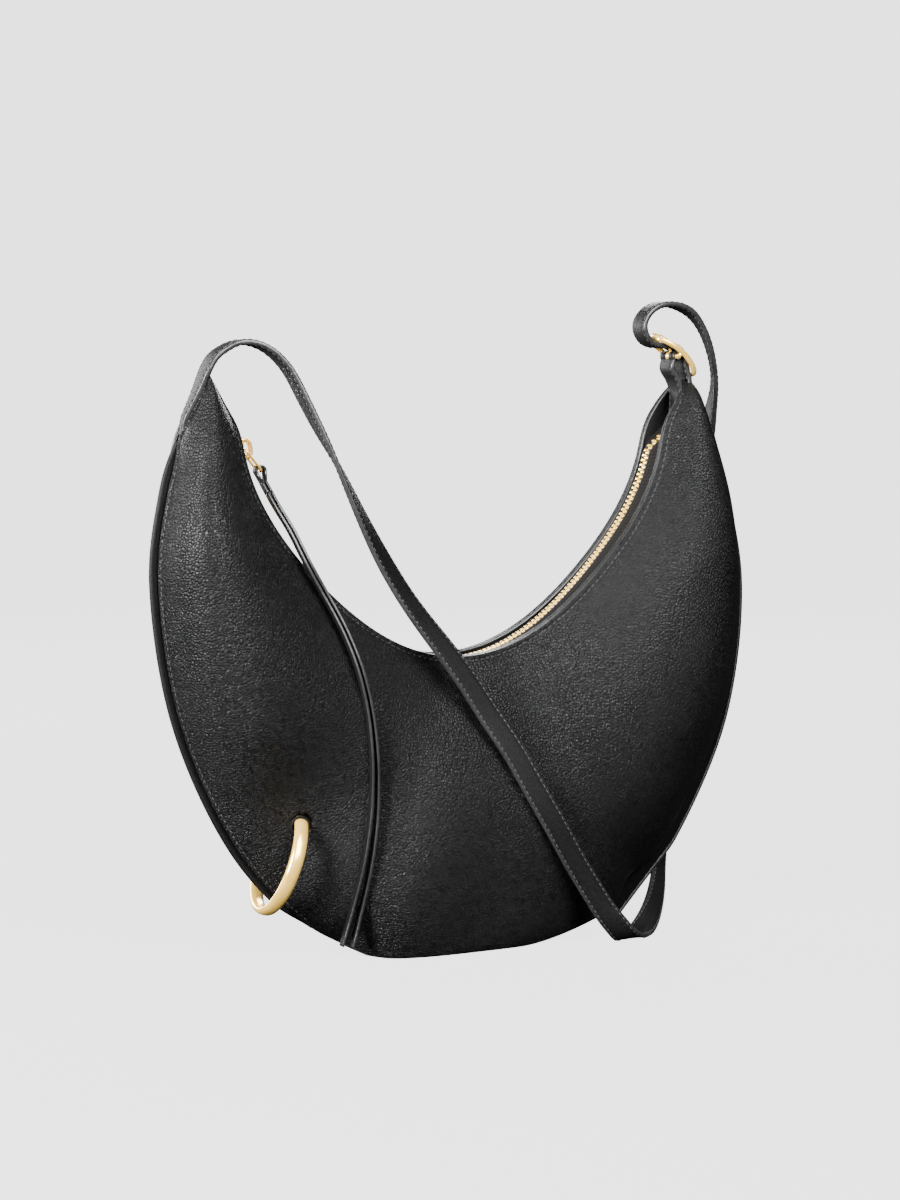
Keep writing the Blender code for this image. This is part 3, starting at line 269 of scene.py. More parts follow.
STRAP_ROUTE_shares = [
    (-0.717, -0.005, 1.0180, -0.80, 0.00, 0.60),
    (-0.686, -0.012, 1.0340, -0.56, 0.00, 0.83),
    (-0.659, -0.030, 1.0435, -0.30, 0.00, 0.95),
    (-0.630, -0.062, 1.0490, 0.00, 0.00, 1.00),
    (-0.591, -0.100, 1.0465, 0.30, 0.00, 0.95),
    (-0.547, -0.140, 1.0330, 0.60, 0.00, 0.80),
    (-0.501, -0.175, 1.0030, 0.75, 0.00, 0.66),
    (-0.468, -0.225, 0.9610, 0.84, 0.00, 0.54),
    (-0.420, -0.300, 0.8995, 0.86, -0.10, 0.50),
    (-0.371, -0.375, 0.8390, 0.75, -0.40, 0.44),
    (-0.313, -0.450, 0.7580, 0.62, -0.60, 0.38),
    (-0.248, -0.525, 0.6770, 0.45, -0.80, 0.30),
    (-0.173, -0.620, 0.6000, 0.42, -0.85, 0.26),
    (-0.087, -0.720, 0.5303, 0.22, -0.93, 0.25),
    (-0.015, -0.780, 0.4697, 0.08, -0.96, 0.26),
    (0.044, -0.850, 0.4087, 0.00, -0.95, 0.30),
    (0.099, -0.940, 0.3579, 0.00, -0.96, 0.26),
    (0.164, -1.040, 0.2817, 0.00, -0.99, 0.10),
    (0.227, -1.080, 0.2165, 0.00, -1.00, 0.00),
    (0.291, -1.080, 0.1488, 0.00, -1.00, 0.00),
    (0.340, -1.080, 0.1033, 0.00, -1.00, 0.00),
    (0.386, -1.090, 0.0600, 0.00, -1.00, -0.05),
    (0.424, -1.100, 0.0330, 0.00, -0.95, -0.30),
    (0.464, -1.060, 0.0090, 0.00, -0.60, -0.80),
    (0.536, -0.825, 0.0050, -0.10, 0.20, -0.97),
    (0.622, -0.490, 0.0260, -0.25, 0.80, -0.50),
    (0.703, -0.060, 0.0660, -0.30, 0.92, -0.20),
    (0.753, 0.290, 0.1040, -0.30, 0.95, 0.00),
    (0.786, 0.520, 0.1460, -0.20, 0.98, 0.00),
    (0.820, 0.720, 0.2150, 0.00, 1.00, 0.00),
    (0.865, 0.880, 0.3100, 0.00, 1.00, 0.00),
    (0.905, 0.940, 0.4150, 0.00, 1.00, 0.00),
    (0.926, 0.950, 0.5400, 0.10, 0.99, 0.00),
    (0.930, 0.880, 0.6700, 0.40, 0.91, 0.00),
    (0.928, 0.680, 0.7950, 0.75, 0.65, 0.00),
    (0.924, 0.400, 0.8800, 0.95, 0.20, 0.00),
    (0.921, 0.230, 0.9380, 0.93, -0.30, 0.00),
    (0.915, 0.120, 0.9800, 0.88, -0.45, 0.10),
    (0.898, 0.080, 1.0230, 0.80, -0.42, 0.38),
    (0.871, 0.040, 1.0600, 0.68, -0.35, 0.62),
    (0.836, 0.010, 1.0900, 0.52, -0.25, 0.80),
    (0.795, 0.000, 1.1105, 0.32, 0.00, 0.95),
    (0.743, 0.000, 1.1200, 0.00, 0.00, 1.00),
    (0.691, 0.000, 1.1175, -0.40, 0.00, 0.92),
    (0.653, 0.000, 1.1030, -0.80, 0.00, 0.60),
    (0.634, 0.000, 1.0810, -1.00, 0.00, 0.00),
    (0.646, 0.000, 1.0600, -0.80, 0.00, -0.60),
]
STRAP_THREAD_shares = [
    (-1.00, -0.215),
    (-0.70, -0.080),
    (-0.42, 0.160),
    (-0.20, 0.290),
    (0.00, 0.318),
    (0.20, 0.290),
    (0.42, 0.160),
    (0.70, -0.080),
    (0.93, -0.215),
]
STRAP_TAIL_shares = [
    (0.7905, 0.9640, -1.0, 0.0),
    (0.7895, 0.9430, -1.0, 0.0),
]
TAB_ROUTE_shares = [
    (0.00, 0.00),
    (-0.03, 0.16),
    (0.08, 0.33),
    (0.15, 0.50),
    (0.17, 0.67),
    (0.16, 0.84),
    (0.14, 1.00),
]
PRONG_shares = [
    (-0.02, 0.10),
    (-0.13, 0.17),
    (-0.25, 0.27),
    (-0.40, 0.34),
    (-0.60, 0.33),
    (-0.85, 0.25),
    (-1.06, 0.165),
]

# Detail of the dressed surfaces
SHELL_STATIONS = 460
PROFILE_POINTS = 260
EDGE_COLUMNS = 12
MIDDLE_COLUMNS = 54
LIP_COLUMNS = 5
EDGE_STEP = 0.00045
SHELL_SMOOTHING = 3.0
FOLD_SIZE = 0.052
FOLD_DEPTH = 0.0011
LEFT_WELT_SHOW = 0.0030
TONGUE_END_ROW = 2.0
TONGUE_END_ROWS = 0.5
TONGUE_POINT = 0.2
TONGUE_LIFT = 0.0008
TONGUE_SINK = 0.0008
TIP_CLOSE_share = 0.35
TIP_CLOSE_ROWS = 0.3
TONGUE_CURVE = 0.85
RIGHT_WELT_SHOW = 0.0054
RIGHT_VALLEY = 0.0036
VALLEY_ROW = 15.5
VALLEY_ROWS = 2.5
LEFT_WELT_END_DEGREES = -10.5
RIGHT_WELT_END_DEGREES = 19.5
RIGHT_WELT_START = LAST_ROW - 1.8
WELT_RINGS = 240
WELT_FADE_RINGS = 25
WELT_SMOOTHING = 2.0
LEFT_STITCH_END_DEGREES = -11
RIGHT_STITCH_END_DEGREES = 14
BASE_COLUMNS = 25
BASE_LIFT = LEATHER * 0.1
BASE_SMOOTHING = 4.0
TAPE_COLUMNS = 13
TAB_POINTS = 40
TAB_FOLD_RINGS = 33
TAB_FOLD_DEGREES = 150
PULL_POINTS = 200
PULL_SMOOTHING = 3.0
PULL_BEND_STEPS = 24
FRAME_STEPS = 96
PRONG_POINTS = 40
PRONG_TIP_POINTS = 10
PRONG_EYE_STEPS = 40
STRAP_STEPS = 9
STRAP_SMOOTHING = 3.5
RIDGE_HEIGHT = 0.00036
STITCH_PITCH = 0.0034
STITCH_LENGTH = 0.0026
STITCH_THREAD = 0.00032
GROOVE_DEPTH = 0.00030
STITCH_COLUMN = 5
STITCH_SIDES = 6
LIP_RIDGE_share = 1.6
RING_POLISH = 0.0006
BAIL_RISE = 0.0014
BAIL_STRETCH = 1.25
BAIL_POLISH = 0.0003
BUCKLE_POLISH = 0.0003
RIM_WIRE = 0.00055
RIM_WIRES_BESIDE = 3
RIM_WIRES_BEYOND = 5
RIM_FLATNESS = 1.3
RIM_SIDES = 10
RIM_STEPS = 48
STITCH_SHARE = 0.8
TONGUE_TAPER = 0.036
TONGUE_SKIVE = 0.010
PULL_STRAND_START = 8
HOLE_MARK_RADIUS = 0.0011
HOLE_MARK_SIDES = 16
HOLE_MARK_RUNS = (0.088, 0.094, 0.100)
BACKWARDS = Vector((0.0, 1.0, 0.0))


def spline_row(rows, place):
    """Smooth row of values at a place counted in rows."""
    last = len(rows) - 1
    place = min(max(place, 0.0), last - 1e-9)
    i = int(floor(place))
    f = place - i
    picked = [rows[min(max(j, 0), last)] for j in (i - 1, i, i + 1, i + 2)]
    out = []
    for p0, p1, p2, p3 in zip(*picked):
        out.append(0.5 * (2 * p1 + (p2 - p0) * f + (2 * p0 - 5 * p1 + 4 * p2 - p3) * f * f
                          + (3 * p1 - p0 - 3 * p2 + p3) * f ** 3))
    return out


def smooth_rows(rows, count):
    return [spline_row(rows, i * (len(rows) - 1) / (count - 1)) for i in range(count)]


def ease(x):
    x = min(max(x, 0.0), 1.0)
    return x * x * (3 - 2 * x)


def upright(x, z):
    """Point or direction in the bag's middle plane."""
    return Vector((x, 0.0, z))


def circle(count):
    """Cosine and sine at even steps round a circle."""
    return [(cos(2 * pi * k / count), sin(2 * pi * k / count)) for k in range(count)]


def line_length(points):
    return sum((b - a).length for a, b in zip(points, points[1:]))


def line_runs(line):
    """Distance along a line to each of its points."""
    return np.concatenate([[0.0], np.cumsum(np.linalg.norm(np.diff(line, axis=0), axis=1))])


def direction_at(points, i):
    """Direction of an open line at one of its points."""
    return (points[min(i + 1, len(points) - 1)] - points[max(i - 1, 0)]).normalized()


def seam_share(base_share):
    """How much of the side seam there is at a cross-section: none along the base."""
    return ease((base_share - SEAM_START_share) / SEAM_SPAN_share)


def mouth_radius(angle):
    past = max(0.0, abs(angle) - ZIP_END) / FLARE_SPAN
    flare = LEFT_FLARE if angle < 0 else RIGHT_FLARE
    return MOUTH_RADIUS + MOUTH_WAVE * cos(4 * angle) + flare * past * past


def mouth_place(angle, drop):
    """Point of the zip line in X and Z, with a drop away from the mouth's centre."""
    r = mouth_radius(angle) + drop
    return upright(MOUTH_CENTRE_X + r * sin(angle), MOUTH_CENTRE_Z - r * cos(angle))


def outer_spot(x_share, z_share):
    reach = LEFT_REACH if x_share < 0 else RIGHT_REACH
    return upright(x_share * reach, max(z_share, 0.0) * BAG_HEIGHT)


OUTLINE_SPOTS = [outer_spot(x, z) for _, x, z in OUTLINE_shares]
OUTLINE_RUNS = np.cumsum([0.0] + [(b - a).length for a, b in zip(OUTLINE_SPOTS, OUTLINE_SPOTS[1:])])


def even_places(start, end, count):
    """Places between two others, at even steps along the outer edge."""
    rows = np.arange(LAST_ROW + 1)
    low, high = np.interp((start, end), rows, OUTLINE_RUNS)
    return np.interp(np.linspace(low, high, count), OUTLINE_RUNS, rows)


def station(place):
    """All that a cross-section of the bag needs, at a place counted in outline rows."""
    degrees_, x_share, z_share = spline_row(OUTLINE_shares, place)
    mouth = mouth_place(radians(degrees_), 0.0)
    outer = outer_spot(x_share, z_share)
    along = (outer - mouth).normalized()
    base_length = BASE_LEFT_LENGTH if outer.x < 0 else BASE_RIGHT_LENGTH
    q = abs(outer.x) / base_length
    base_half = 0.0
    if q < 1:
        base_half = BASE_HALF_DEPTH * (1 - q ** BASE_BLUNT_share) ** BASE_ROUND_share
    seam = outer - along * (WELT_WIDTH * seam_share(q))
    width = (seam - mouth).length
    closing = ease((-degrees_ - ZIP_CLOSE_DEGREES) / ZIP_CLOSE_SPAN)
    gap = TIP_HALF_GAP + (MOUTH_HALF_GAP - TIP_HALF_GAP) * tanh(width / GAP_GROWTH)
    return {
        "angle": radians(degrees_),
        "mouth": mouth,
        "outer": outer,
        "seam": seam,
        "along": along,
        "width": width,
        "depth": TIP_HALF_DEPTH + (BELLY_HALF_DEPTH - TIP_HALF_DEPTH) * tanh(width / DEPTH_GROWTH),
        "gap": gap + (3 * GAP - gap) * closing,
        "lip": LIP_WIDTH * tanh(width / LIP_GROWTH),
        "base_half": base_half,
        "base_share": q,
    }


def place_at_angle(angle):
    """Place in the outline rows where the mouth has a given angle."""
    low = 0.0
    high = float(LAST_ROW)
    for _ in range(40):
        middle = (low + high) / 2
        if radians(spline_row(OUTLINE_shares, middle)[0]) < angle:
            low = middle
        else:
            high = middle
    return (low + high) / 2


def ring_axes():
    """Ring's hanging direction, its direction through the bag and its own axis."""
    yaw = Matrix.Rotation(RING_YAW, 3, "Z")
    hang = yaw @ upright(-sin(RING_LEAN), -cos(RING_LEAN))
    through = yaw @ BACKWARDS
    return hang, through, hang.cross(through)


def hole_centre():
    """Where the ring goes through the front wall."""
    hang, through, _ = ring_axes()
    drop = hang * (RING_RADIUS * HOLE_DROP_share)
    return upright(RING_X, RING_Z) - drop - through * (RING_RADIUS * HOLE_REACH_share)


def pinch(x, z):
    """How much flatter the shell is where the ring goes through it."""
    hole = hole_centre()
    far = hypot(x - hole.x, z - hole.z)
    return 1 - PINCH_SHARE * exp(-far * far / (2 * PINCH_SPREAD * PINCH_SPREAD))


def tongue_share(run):
    """How wide the strap's sewn end is, as a share of the strap, at a distance from its point."""
    return TONGUE_POINT + (1 - TONGUE_POINT) * min(max(run / TONGUE_TAPER, 0.0), 1.0) ** TONGUE_CURVE


def tongue_run(place):
    """Distance from the point of the strap's sewn end to a cross-section of the slider's horn."""
    spots = [station(place * k / 12)["outer"] for k in range(13)]
    return STRAP_SEWN_LENGTH - line_length(spots)


def dressed_station(place):
    """Cross-section of the dressed bag: its seam is nearer the outer edge, and under the strap's end."""
    s = station(place)
    show = RIGHT_WELT_SHOW + RIGHT_VALLEY * ease((VALLEY_ROW - place) / VALLEY_ROWS)
    s["end_half"] = max(s["base_half"], SEAM_HALF)
    if s["outer"].x < 0:
        under = 1 - ease((place - TONGUE_END_ROW) / TONGUE_END_ROWS)
        show = LEFT_WELT_SHOW * (1 - under)
        if under > 0:
            tongue_half = STRAP_WIDTH / 2 * tongue_share(tongue_run(place)) - 2 * GAP
            s["end_half"] += (max(tongue_half, GAP) - s["end_half"]) * under
    s["seam"] = s["outer"] - s["along"] * (show * seam_share(s["base_share"]))
    s["width"] = (s["seam"] - s["mouth"]).length
    end = min(place, LAST_ROW - place)
    s["tip"] = TIP_CLOSE_share + (1 - TIP_CLOSE_share) * ease(end / TIP_CLOSE_ROWS) ** 0.5
    return s


def wall_point(s, v):
    """Point of the front wall's cross-section: v is 0 under the lip and 1 at the seam or base."""
    y_start = s["gap"] + s["lip"]
    y_belly = max(s["depth"], y_start + GAP)
    y_end = s["end_half"]
    lip_drop = s["lip"] * LIP_SLOPE_share
    w = lip_drop + (s["width"] - lip_drop) * v
    if v < BELLY_PLACE_share:
        y = y_start + (y_belly - y_start) * sin(pi / 2 * v / BELLY_PLACE_share)
    else:
        f = (v - BELLY_PLACE_share) / (1 - BELLY_PLACE_share)
        y = y_end + (y_belly - y_end) * max(0.0, 1 - f * f) ** SEAM_SLOPE_share
    p = s["mouth"] + s["along"] * w
    y = y_end + (y - y_end) * pinch(p.x, p.z) if y > y_end else y
    return Vector((p.x, -y * s["tip"], p.z))


def zip_frame(angle):
    """Frame on the zip line: x towards the buckle's horn, y to the back, z out of the bag."""
    centre = mouth_place(angle, chain_drop(angle))
    ahead = mouth_place(angle + 0.01, chain_drop(angle + 0.01))
    behind = mouth_place(angle - 0.01, chain_drop(angle - 0.01))
    x = (ahead - behind).normalized()
    return centre, Matrix((x, BACKWARDS, x.cross(BACKWARDS))).transposed()


def row_shift(angle):
    """How far each tooth row stands off beside the slider's neck and above it."""
    half = SLIDER_HALF_LENGTH / MOUTH_RADIUS
    return ROW_SPREAD * ease((SLIDER_ANGLE + half * 0.1 - angle) / (half * 0.75))


def dip_share(angle):
    return ease((angle - DIP_START) / DIP_SPAN)


def chain_drop(angle):
    """Teeth stand above the lips, sag in the middle and dip into the buckle's horn at the closed end."""
    sag = CHAIN_SAG * exp(-(angle / SAG_SPREAD) ** 2)
    return (CHAIN_DIP + CHAIN_RISE) * dip_share(angle) - CHAIN_RISE + sag


def link_frame():
    """Link's pivot under the bail and its frame, with x down its length."""
    centre, turn = zip_frame(SLIDER_ANGLE)
    height = TOOTH_THICKNESS / 2 + GAP + SLIDER_PLATE + GAP + LINK_WIRE
    return centre + turn @ upright(0.0, height), turn @ Matrix.Rotation(-LINK_TURN, 3, "Y")


def buckle_axes():
    """Buckle's middle and frame: x along the strap's way through it, z out of its arch."""
    x = upright(cos(BUCKLE_TILT), -sin(BUCKLE_TILT))
    return upright(BUCKLE_X, BUCKLE_Z), Matrix((x, BACKWARDS, x.cross(BACKWARDS))).transposed()


# Materials
def new_material(name, colour, roughness, metallic=0.0, specular=0.5):
    made = bpy.data.materials.new(name)
    made.use_nodes = True
    shader = made.node_tree.nodes["Principled BSDF"]
    shader.inputs["Base Color"].default_value = (*colour, 1.0)
    shader.inputs["Roughness"].default_value = roughness
    shader.inputs["Metallic"].default_value = metallic
    shader.inputs["Specular IOR Level"].default_value = specular
    return made, made.node_tree, shader


def ramp(tree, source, low, high, from_value, to_value):
    """Values of a source between two limits, spread over another range."""
    spread = tree.nodes.new("ShaderNodeMapRange")
    spread.inputs["From Min"].default_value = low
    spread.inputs["From Max"].default_value = high
    spread.inputs["To Min"].default_value = from_value
    spread.inputs["To Max"].default_value = to_value
    tree.links.new(source, spread.inputs["Value"])
    return spread.outputs["Result"]


def colour_mix(tree, factor, first, second):
    mix = tree.nodes.new("ShaderNodeMix")
    mix.data_type = "RGBA"
    mix.inputs["A"].default_value = (*first, 1.0)
    mix.inputs["B"].default_value = (*second, 1.0)
    tree.links.new(factor, mix.inputs["Factor"])
    return mix.outputs["Result"]


def bump(tree, shader, height, distance, below=None):
    node = tree.nodes.new("ShaderNodeBump")
    node.inputs["Distance"].default_value = distance
    tree.links.new(height, node.inputs["Height"])
    if below:
        tree.links.new(below, node.inputs["Normal"])
    tree.links.new(node.outputs["Normal"], shader.inputs["Normal"])
    return node.outputs["Normal"]


def object_places(tree):
    places = tree.nodes.new("ShaderNodeTexCoord")
    mapping = tree.nodes.new("ShaderNodeMapping")
    tree.links.new(places.outputs["Object"], mapping.inputs["Vector"])
    return mapping.outputs["Vector"]


def texture(tree, places, kind, **values):
    """Texture node read at given places; the values are those of its inputs or its own settings."""
    node = tree.nodes.new("ShaderNodeTex" + kind)
    for name, value in values.items():
        if name in node.inputs:
            node.inputs[name].default_value = value
        else:
            setattr(node, name, value)
    tree.links.new(places, node.inputs["Vector"])
    return node


def joined(tree, operation, values):
    """Two values joined by an operation."""
    node = tree.nodes.new("ShaderNodeMath")
    node.operation = operation
    tree.links.new(values[0], node.inputs[0])
    tree.links.new(values[1], node.inputs[1])
    return node.outputs[0]


def tint(tree, shader, factor, first, second):
    """Colours the shader between two tones."""
    tree.links.new(colour_mix(tree, factor, first, second), shader.inputs["Base Color"])


def leather_material(name, colour, roughness, pebble, pebble_depth, crease_depth, specular=LEATHER_SPECULAR):
    """Grained leather: pebbles of a size in metres, fine creases, a slightly uneven sheen, and painted shade
    in the cracks between pebbles.
    """
    made, tree, shader = new_material(name, colour, roughness, specular=specular)
    places = object_places(tree)
    warp = texture(tree, places, "Noise", Scale=0.6 / pebble, Detail=1.0)
    shift = tree.nodes.new("ShaderNodeVectorMath")
    shift.operation = "MULTIPLY_ADD"
    shift.inputs[1].default_value = (pebble * 0.6,) * 3
    tree.links.new(warp.outputs["Color"], shift.inputs[0])
    tree.links.new(places, shift.inputs[2])
    heights = []
    for feature, low, high, top in (("DISTANCE_TO_EDGE", 0.0, 0.16, 0.5), ("F1", 0.75, 0.1, 0.5)):
        cells = texture(tree, shift.outputs["Vector"], "Voronoi", feature=feature, Scale=1 / pebble,
                        Randomness=0.9)
        heights.append(ramp(tree, cells.outputs["Distance"], low, high, 0.0, top))
    domes = joined(tree, "ADD", heights)
    fine = texture(tree, places, "Noise", Scale=1.6 / pebble, Detail=4.0, Roughness=0.6)
    large = texture(tree, places, "Noise", Scale=24.0, Detail=3.0, Roughness=0.55)
    first = bump(tree, shader, domes, pebble_depth)
    bump(tree, shader, fine.outputs["Fac"], crease_depth, first)
    rough = ramp(tree, large.outputs["Fac"], 0.3, 0.7, roughness - 0.05, roughness + 0.06)
    tree.links.new(rough, shader.inputs["Roughness"])
    # Base colour drops to 0.12 of itself in the cracks between pebbles: painted shade in the creases.
    tint(tree, shader, domes, tuple(c * 0.12 for c in colour), colour)
    return made


def edge_material():
    """Painted leather edge: smooth, a little glossier, with faint waves along it."""
    made, tree, shader = new_material("painted_edge", (0.012, 0.012, 0.012), 0.30, specular=EDGE_SPECULAR)
    waves = texture(tree, object_places(tree), "Noise", Scale=420.0, Detail=3.0).outputs["Fac"]
    bump(tree, shader, waves, 0.00012)
    tint(tree, shader, ramp(tree, waves, 0.3, 0.7, 0.0, 1.0), (0.008, 0.008, 0.008), (0.016, 0.016, 0.016))
    return made


def suede_material():
    """Raw flesh side of the leather."""
    made, tree, shader = new_material("leather_flesh_side", (0.030, 0.028, 0.027), 0.95)
    fuzz = texture(tree, object_places(tree), "Noise", Scale=1500.0, Detail=5.0, Roughness=0.7).outputs["Fac"]
    tint(tree, shader, ramp(tree, fuzz, 0.35, 0.65, 0.0, 1.0), (0.005, 0.0046, 0.0042), (0.020, 0.018, 0.017))
    bump(tree, shader, fuzz, 0.0003)
    return made


def gold_material():
    made, tree, shader = new_material("pale_gold", (0.88, 0.56, 0.11), 0.25, 0.62)
    wear = texture(tree, object_places(tree), "Noise", Scale=160.0, Detail=4.0, Roughness=0.65).outputs["Fac"]
    tree.links.new(ramp(tree, wear, 0.3, 0.7, 0.12, 0.26), shader.inputs["Roughness"])
    tint(tree, shader, ramp(tree, wear, 0.35, 0.65, 0.0, 1.0), (0.86, 0.54, 0.09), (0.92, 0.60, 0.14))
    bump(tree, shader, wear, 0.00004)
    return made


def cloth_material(name, dark, light, pitch):
    """Woven cloth with crossing threads of a pitch in metres."""
    made, tree, shader = new_material(name, light, 0.9, specular=CLOTH_SPECULAR)
    places = object_places(tree)
    heights = []
    for axis in ("DIAGONAL", "Y"):
        wave = texture(tree, places, "Wave", bands_direction=axis, Scale=0.16 / pitch, Distortion=0.6)
        heights.append(wave.outputs["Fac"])
    weave = joined(tree, "MULTIPLY", heights)
    tint(tree, shader, weave, dark, light)
    bump(tree, shader, weave, 0.0002)
    return made


def thread_material():
    made, tree, shader = new_material("black_thread", (0.0025, 0.0025, 0.0026), 0.6)
    twist = texture(tree, object_places(tree), "Wave", bands_direction="DIAGONAL", Scale=900.0,
                    Distortion=1.5)
    bump(tree, shader, twist.outputs["Fac"], 0.0001)
    tint(tree, shader, twist.outputs["Fac"], (0.004, 0.004, 0.0042), (0.014, 0.014, 0.0145))
    return made


def board_material():
    made, tree, shader = new_material("stiffening_board", (0.16, 0.12, 0.08), 0.8)
    fibre = texture(tree, object_places(tree), "Noise", Scale=900.0, Detail=4.0)
    tint(tree, shader, fibre.outputs["Fac"], (0.10, 0.07, 0.05), (0.20, 0.15, 0.10))
    return made


LEATHER_LOOK = leather_material("pebbled_leather", (0.0040, 0.0040, 0.0041), 0.40, 0.0014, 0.00033, 0.00011)
STRAP_LOOK = leather_material("strap_leather", (0.0036, 0.0036, 0.0037), 0.55, 0.0013, 0.00008, 0.00006)
# Near-black, almost unreflective leather for the right welt's strip: painted shade for the dark valley
# between the front panel and the welt's bead.
WELT_SHADE_LOOK = leather_material("welt_painted_shade_leather", (0.0015, 0.0015, 0.0016), 0.75, 0.0010, 0.00010, 0.00005,
                             WELT_SHADE_SPECULAR)
EDGE_LOOK = edge_material()
SUEDE_LOOK = suede_material()
GOLD_LOOK = gold_material()
TAPE_LOOK = cloth_material("zip_tape_weave", (0.003, 0.0026, 0.0024), (0.010, 0.0085, 0.0072), 0.0007)
LINING_LOOK = cloth_material("lining_weave", (0.004, 0.0037, 0.0035), (0.012, 0.0115, 0.011), 0.0009)
THREAD_LOOK = thread_material()
BOARD_LOOK = board_material()


# Meshes
def mesh_piece(name, verts, faces, looks, body, picks=None):
    """A mesh that rides on a body; picks gives each face's place in the list of looks."""
    mesh = bpy.data.meshes.new(name)
    mesh.from_pydata([(x, y, max(z, 0.0)) for x, y, z in verts], [], faces)
    for look in looks:
        mesh.materials.append(look)
    if picks is not None:
        mesh.polygons.foreach_set("material_index", picks)
    mesh.shade_smooth()
    mesh.update()
    piece = bpy.data.objects.new(name, mesh)
    bpy.context.scene.collection.objects.link(piece)
    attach(piece, body)
    return piece


def thicken(piece, thickness, inner_look=0, rim_look=0):
    """Gives a skin its thickness on its inner side, with other looks there and round its rim."""
    solid = piece.modifiers.new("thickness", "SOLIDIFY")
    solid.thickness = thickness
    solid.offset = -1.0
    solid.material_offset = inner_look
    solid.material_offset_rim = rim_look


def grid_faces(rows, columns, wrap, flip):
    """Quads of a grid of points, closed across its columns if it wraps."""
    faces = []
    across = columns if wrap else columns - 1
    for i in range(rows - 1):
        for j in range(across):
            k = (j + 1) % columns
            quad = (i * columns + j, i * columns + k, (i + 1) * columns + k, (i + 1) * columns + j)
            faces.append(quad[::-1] if flip else quad)
    return faces


def gauss_smooth(grid, spread):
    """Rows of points smoothed along the first direction, with both ends left in place."""
    reach = int(ceil(3 * spread))
    weights = np.exp(-0.5 * (np.arange(-reach, reach + 1) / spread) ** 2)
    weights /= weights.sum()
    front = 2 * grid[0] - grid[reach:0:-1]
    back = 2 * grid[-1] - grid[-2:-reach - 2:-1]
    padded = np.concatenate([front, grid, back])
    out = np.zeros_like(grid)
    for k, w in enumerate(weights):
        out += w * padded[k:k + len(grid)]
    return out


def grid_normals(grid):
    """Unit normals of a grid of points."""
    along = np.gradient(grid, axis=0)
    across = np.gradient(grid, axis=1)
    normals = np.cross(along, across)
    length = np.linalg.norm(normals, axis=2, keepdims=True)
    return normals / np.maximum(length, 1e-12)


def wall_profile(s):
    """Points down the front wall: even steps of arc beside both edges, wider ones between."""
    shares = [1 - (1 - k / (PROFILE_POINTS - 1)) ** 2 for k in range(PROFILE_POINTS)]
    dense = np.array([tuple(wall_point(s, v)) for v in shares])
    run = line_runs(dense)
    step = min(EDGE_STEP, run[-1] * 0.3 / EDGE_COLUMNS)
    first = step * np.arange(EDGE_COLUMNS)
    last = run[-1] - first[::-1]
    middle = np.linspace(first[-1], last[0], MIDDLE_COLUMNS + 2)[1:-1]
    spots = np.concatenate([first, middle, last])
    return np.stack([np.interp(spots, run, dense[:, c]) for c in range(3)], axis=1)


def shell_grid():
    """Outer face of the front panel as a grid of points, from lip to seam in each row."""
    rows = []
    for place in SHELL_PLACES:
        s = dressed_station(place)
        lip_drop = s["lip"] * LIP_SLOPE_share
        row = []
        for k in range(LIP_COLUMNS):
            f = k / LIP_COLUMNS
            p = s["mouth"] + s["along"] * (lip_drop * f)
            row.append((p.x, -(s["gap"] + s["lip"] * f) * s["tip"], p.z))
        rows.append(np.concatenate([np.array(row), wall_profile(s)]))
    grid = gauss_smooth(np.array(rows), SHELL_SMOOTHING)
    for _ in range(2):
        corner = slice(LIP_COLUMNS - 1, LIP_COLUMNS + 3)
        before = grid[:, LIP_COLUMNS - 2:LIP_COLUMNS + 2]
        after = grid[:, LIP_COLUMNS:LIP_COLUMNS + 4]
        grid[:, corner] = (before + 2 * grid[:, corner] + after) / 4
    grid[:, :, 2] = np.maximum(grid[:, :, 2], 0.0)
    return grid


def fold_height(p):
    """Soft unevenness of hand-worked leather."""
    q = Vector(p) / FOLD_SIZE
    return noise.noise(q) + 0.35 * noise.noise(q * 2.3 + Vector((5.1, 1.7, 2.9)))


SHELL_PLACES = even_places(0.0, LAST_ROW, SHELL_STATIONS)
FRONT_GRID = shell_grid()
FRONT_NORMALS = grid_normals(FRONT_GRID)
if FRONT_NORMALS[SHELL_STATIONS // 2, LIP_COLUMNS + EDGE_COLUMNS + 20, 1] > 0:
    FRONT_NORMALS = -FRONT_NORMALS
LIP_STITCH_COLUMN = LIP_COLUMNS + STITCH_COLUMN
SEAM_STITCH_COLUMN = FRONT_GRID.shape[1] - 1 - STITCH_COLUMN
SEAM_RELIEF = np.array([seam_share(dressed_station(place)["base_share"]) for place in SHELL_PLACES])


def dented_grid(side):
    """Shell's grid with folds, edge ridges and stitch grooves, mirrored to its side."""
    grid = FRONT_GRID.copy()
    rows, columns = grid.shape[:2]
    edge = [ease(min(max(j - LIP_COLUMNS - 4, 0), columns - 1 - j) / 14) for j in range(columns)]
    drop = np.zeros((rows, columns))
    for i in range(rows):
        for j in range(columns):
            if edge[j] > 0:
                drop[i, j] = FOLD_DEPTH * edge[j] * fold_height(grid[i, j] * (1, side, 1))
    for k, share in ((-2, 0.15), (-1, 0.7), (0, 1.0), (1, 0.7), (2, 0.15)):
        drop[:, LIP_STITCH_COLUMN + k] -= GROOVE_DEPTH * share
        drop[:, SEAM_STITCH_COLUMN + k] -= GROOVE_DEPTH * share * SEAM_RELIEF
        drop[:, LIP_COLUMNS + k] += RIDGE_HEIGHT * share * LIP_RIDGE_share
    for k, share in ((0, 0.4), (1, 0.9), (2, 1.0), (3, 0.3)):
        drop[:, columns - 1 - k] += RIDGE_HEIGHT * share * SEAM_RELIEF
    grid = grid + FRONT_NORMALS * drop[:, :, None]
    grid[:, :, 1] *= side
    grid[:, :, 2] = np.maximum(grid[:, :, 2], 0.0)
    return grid


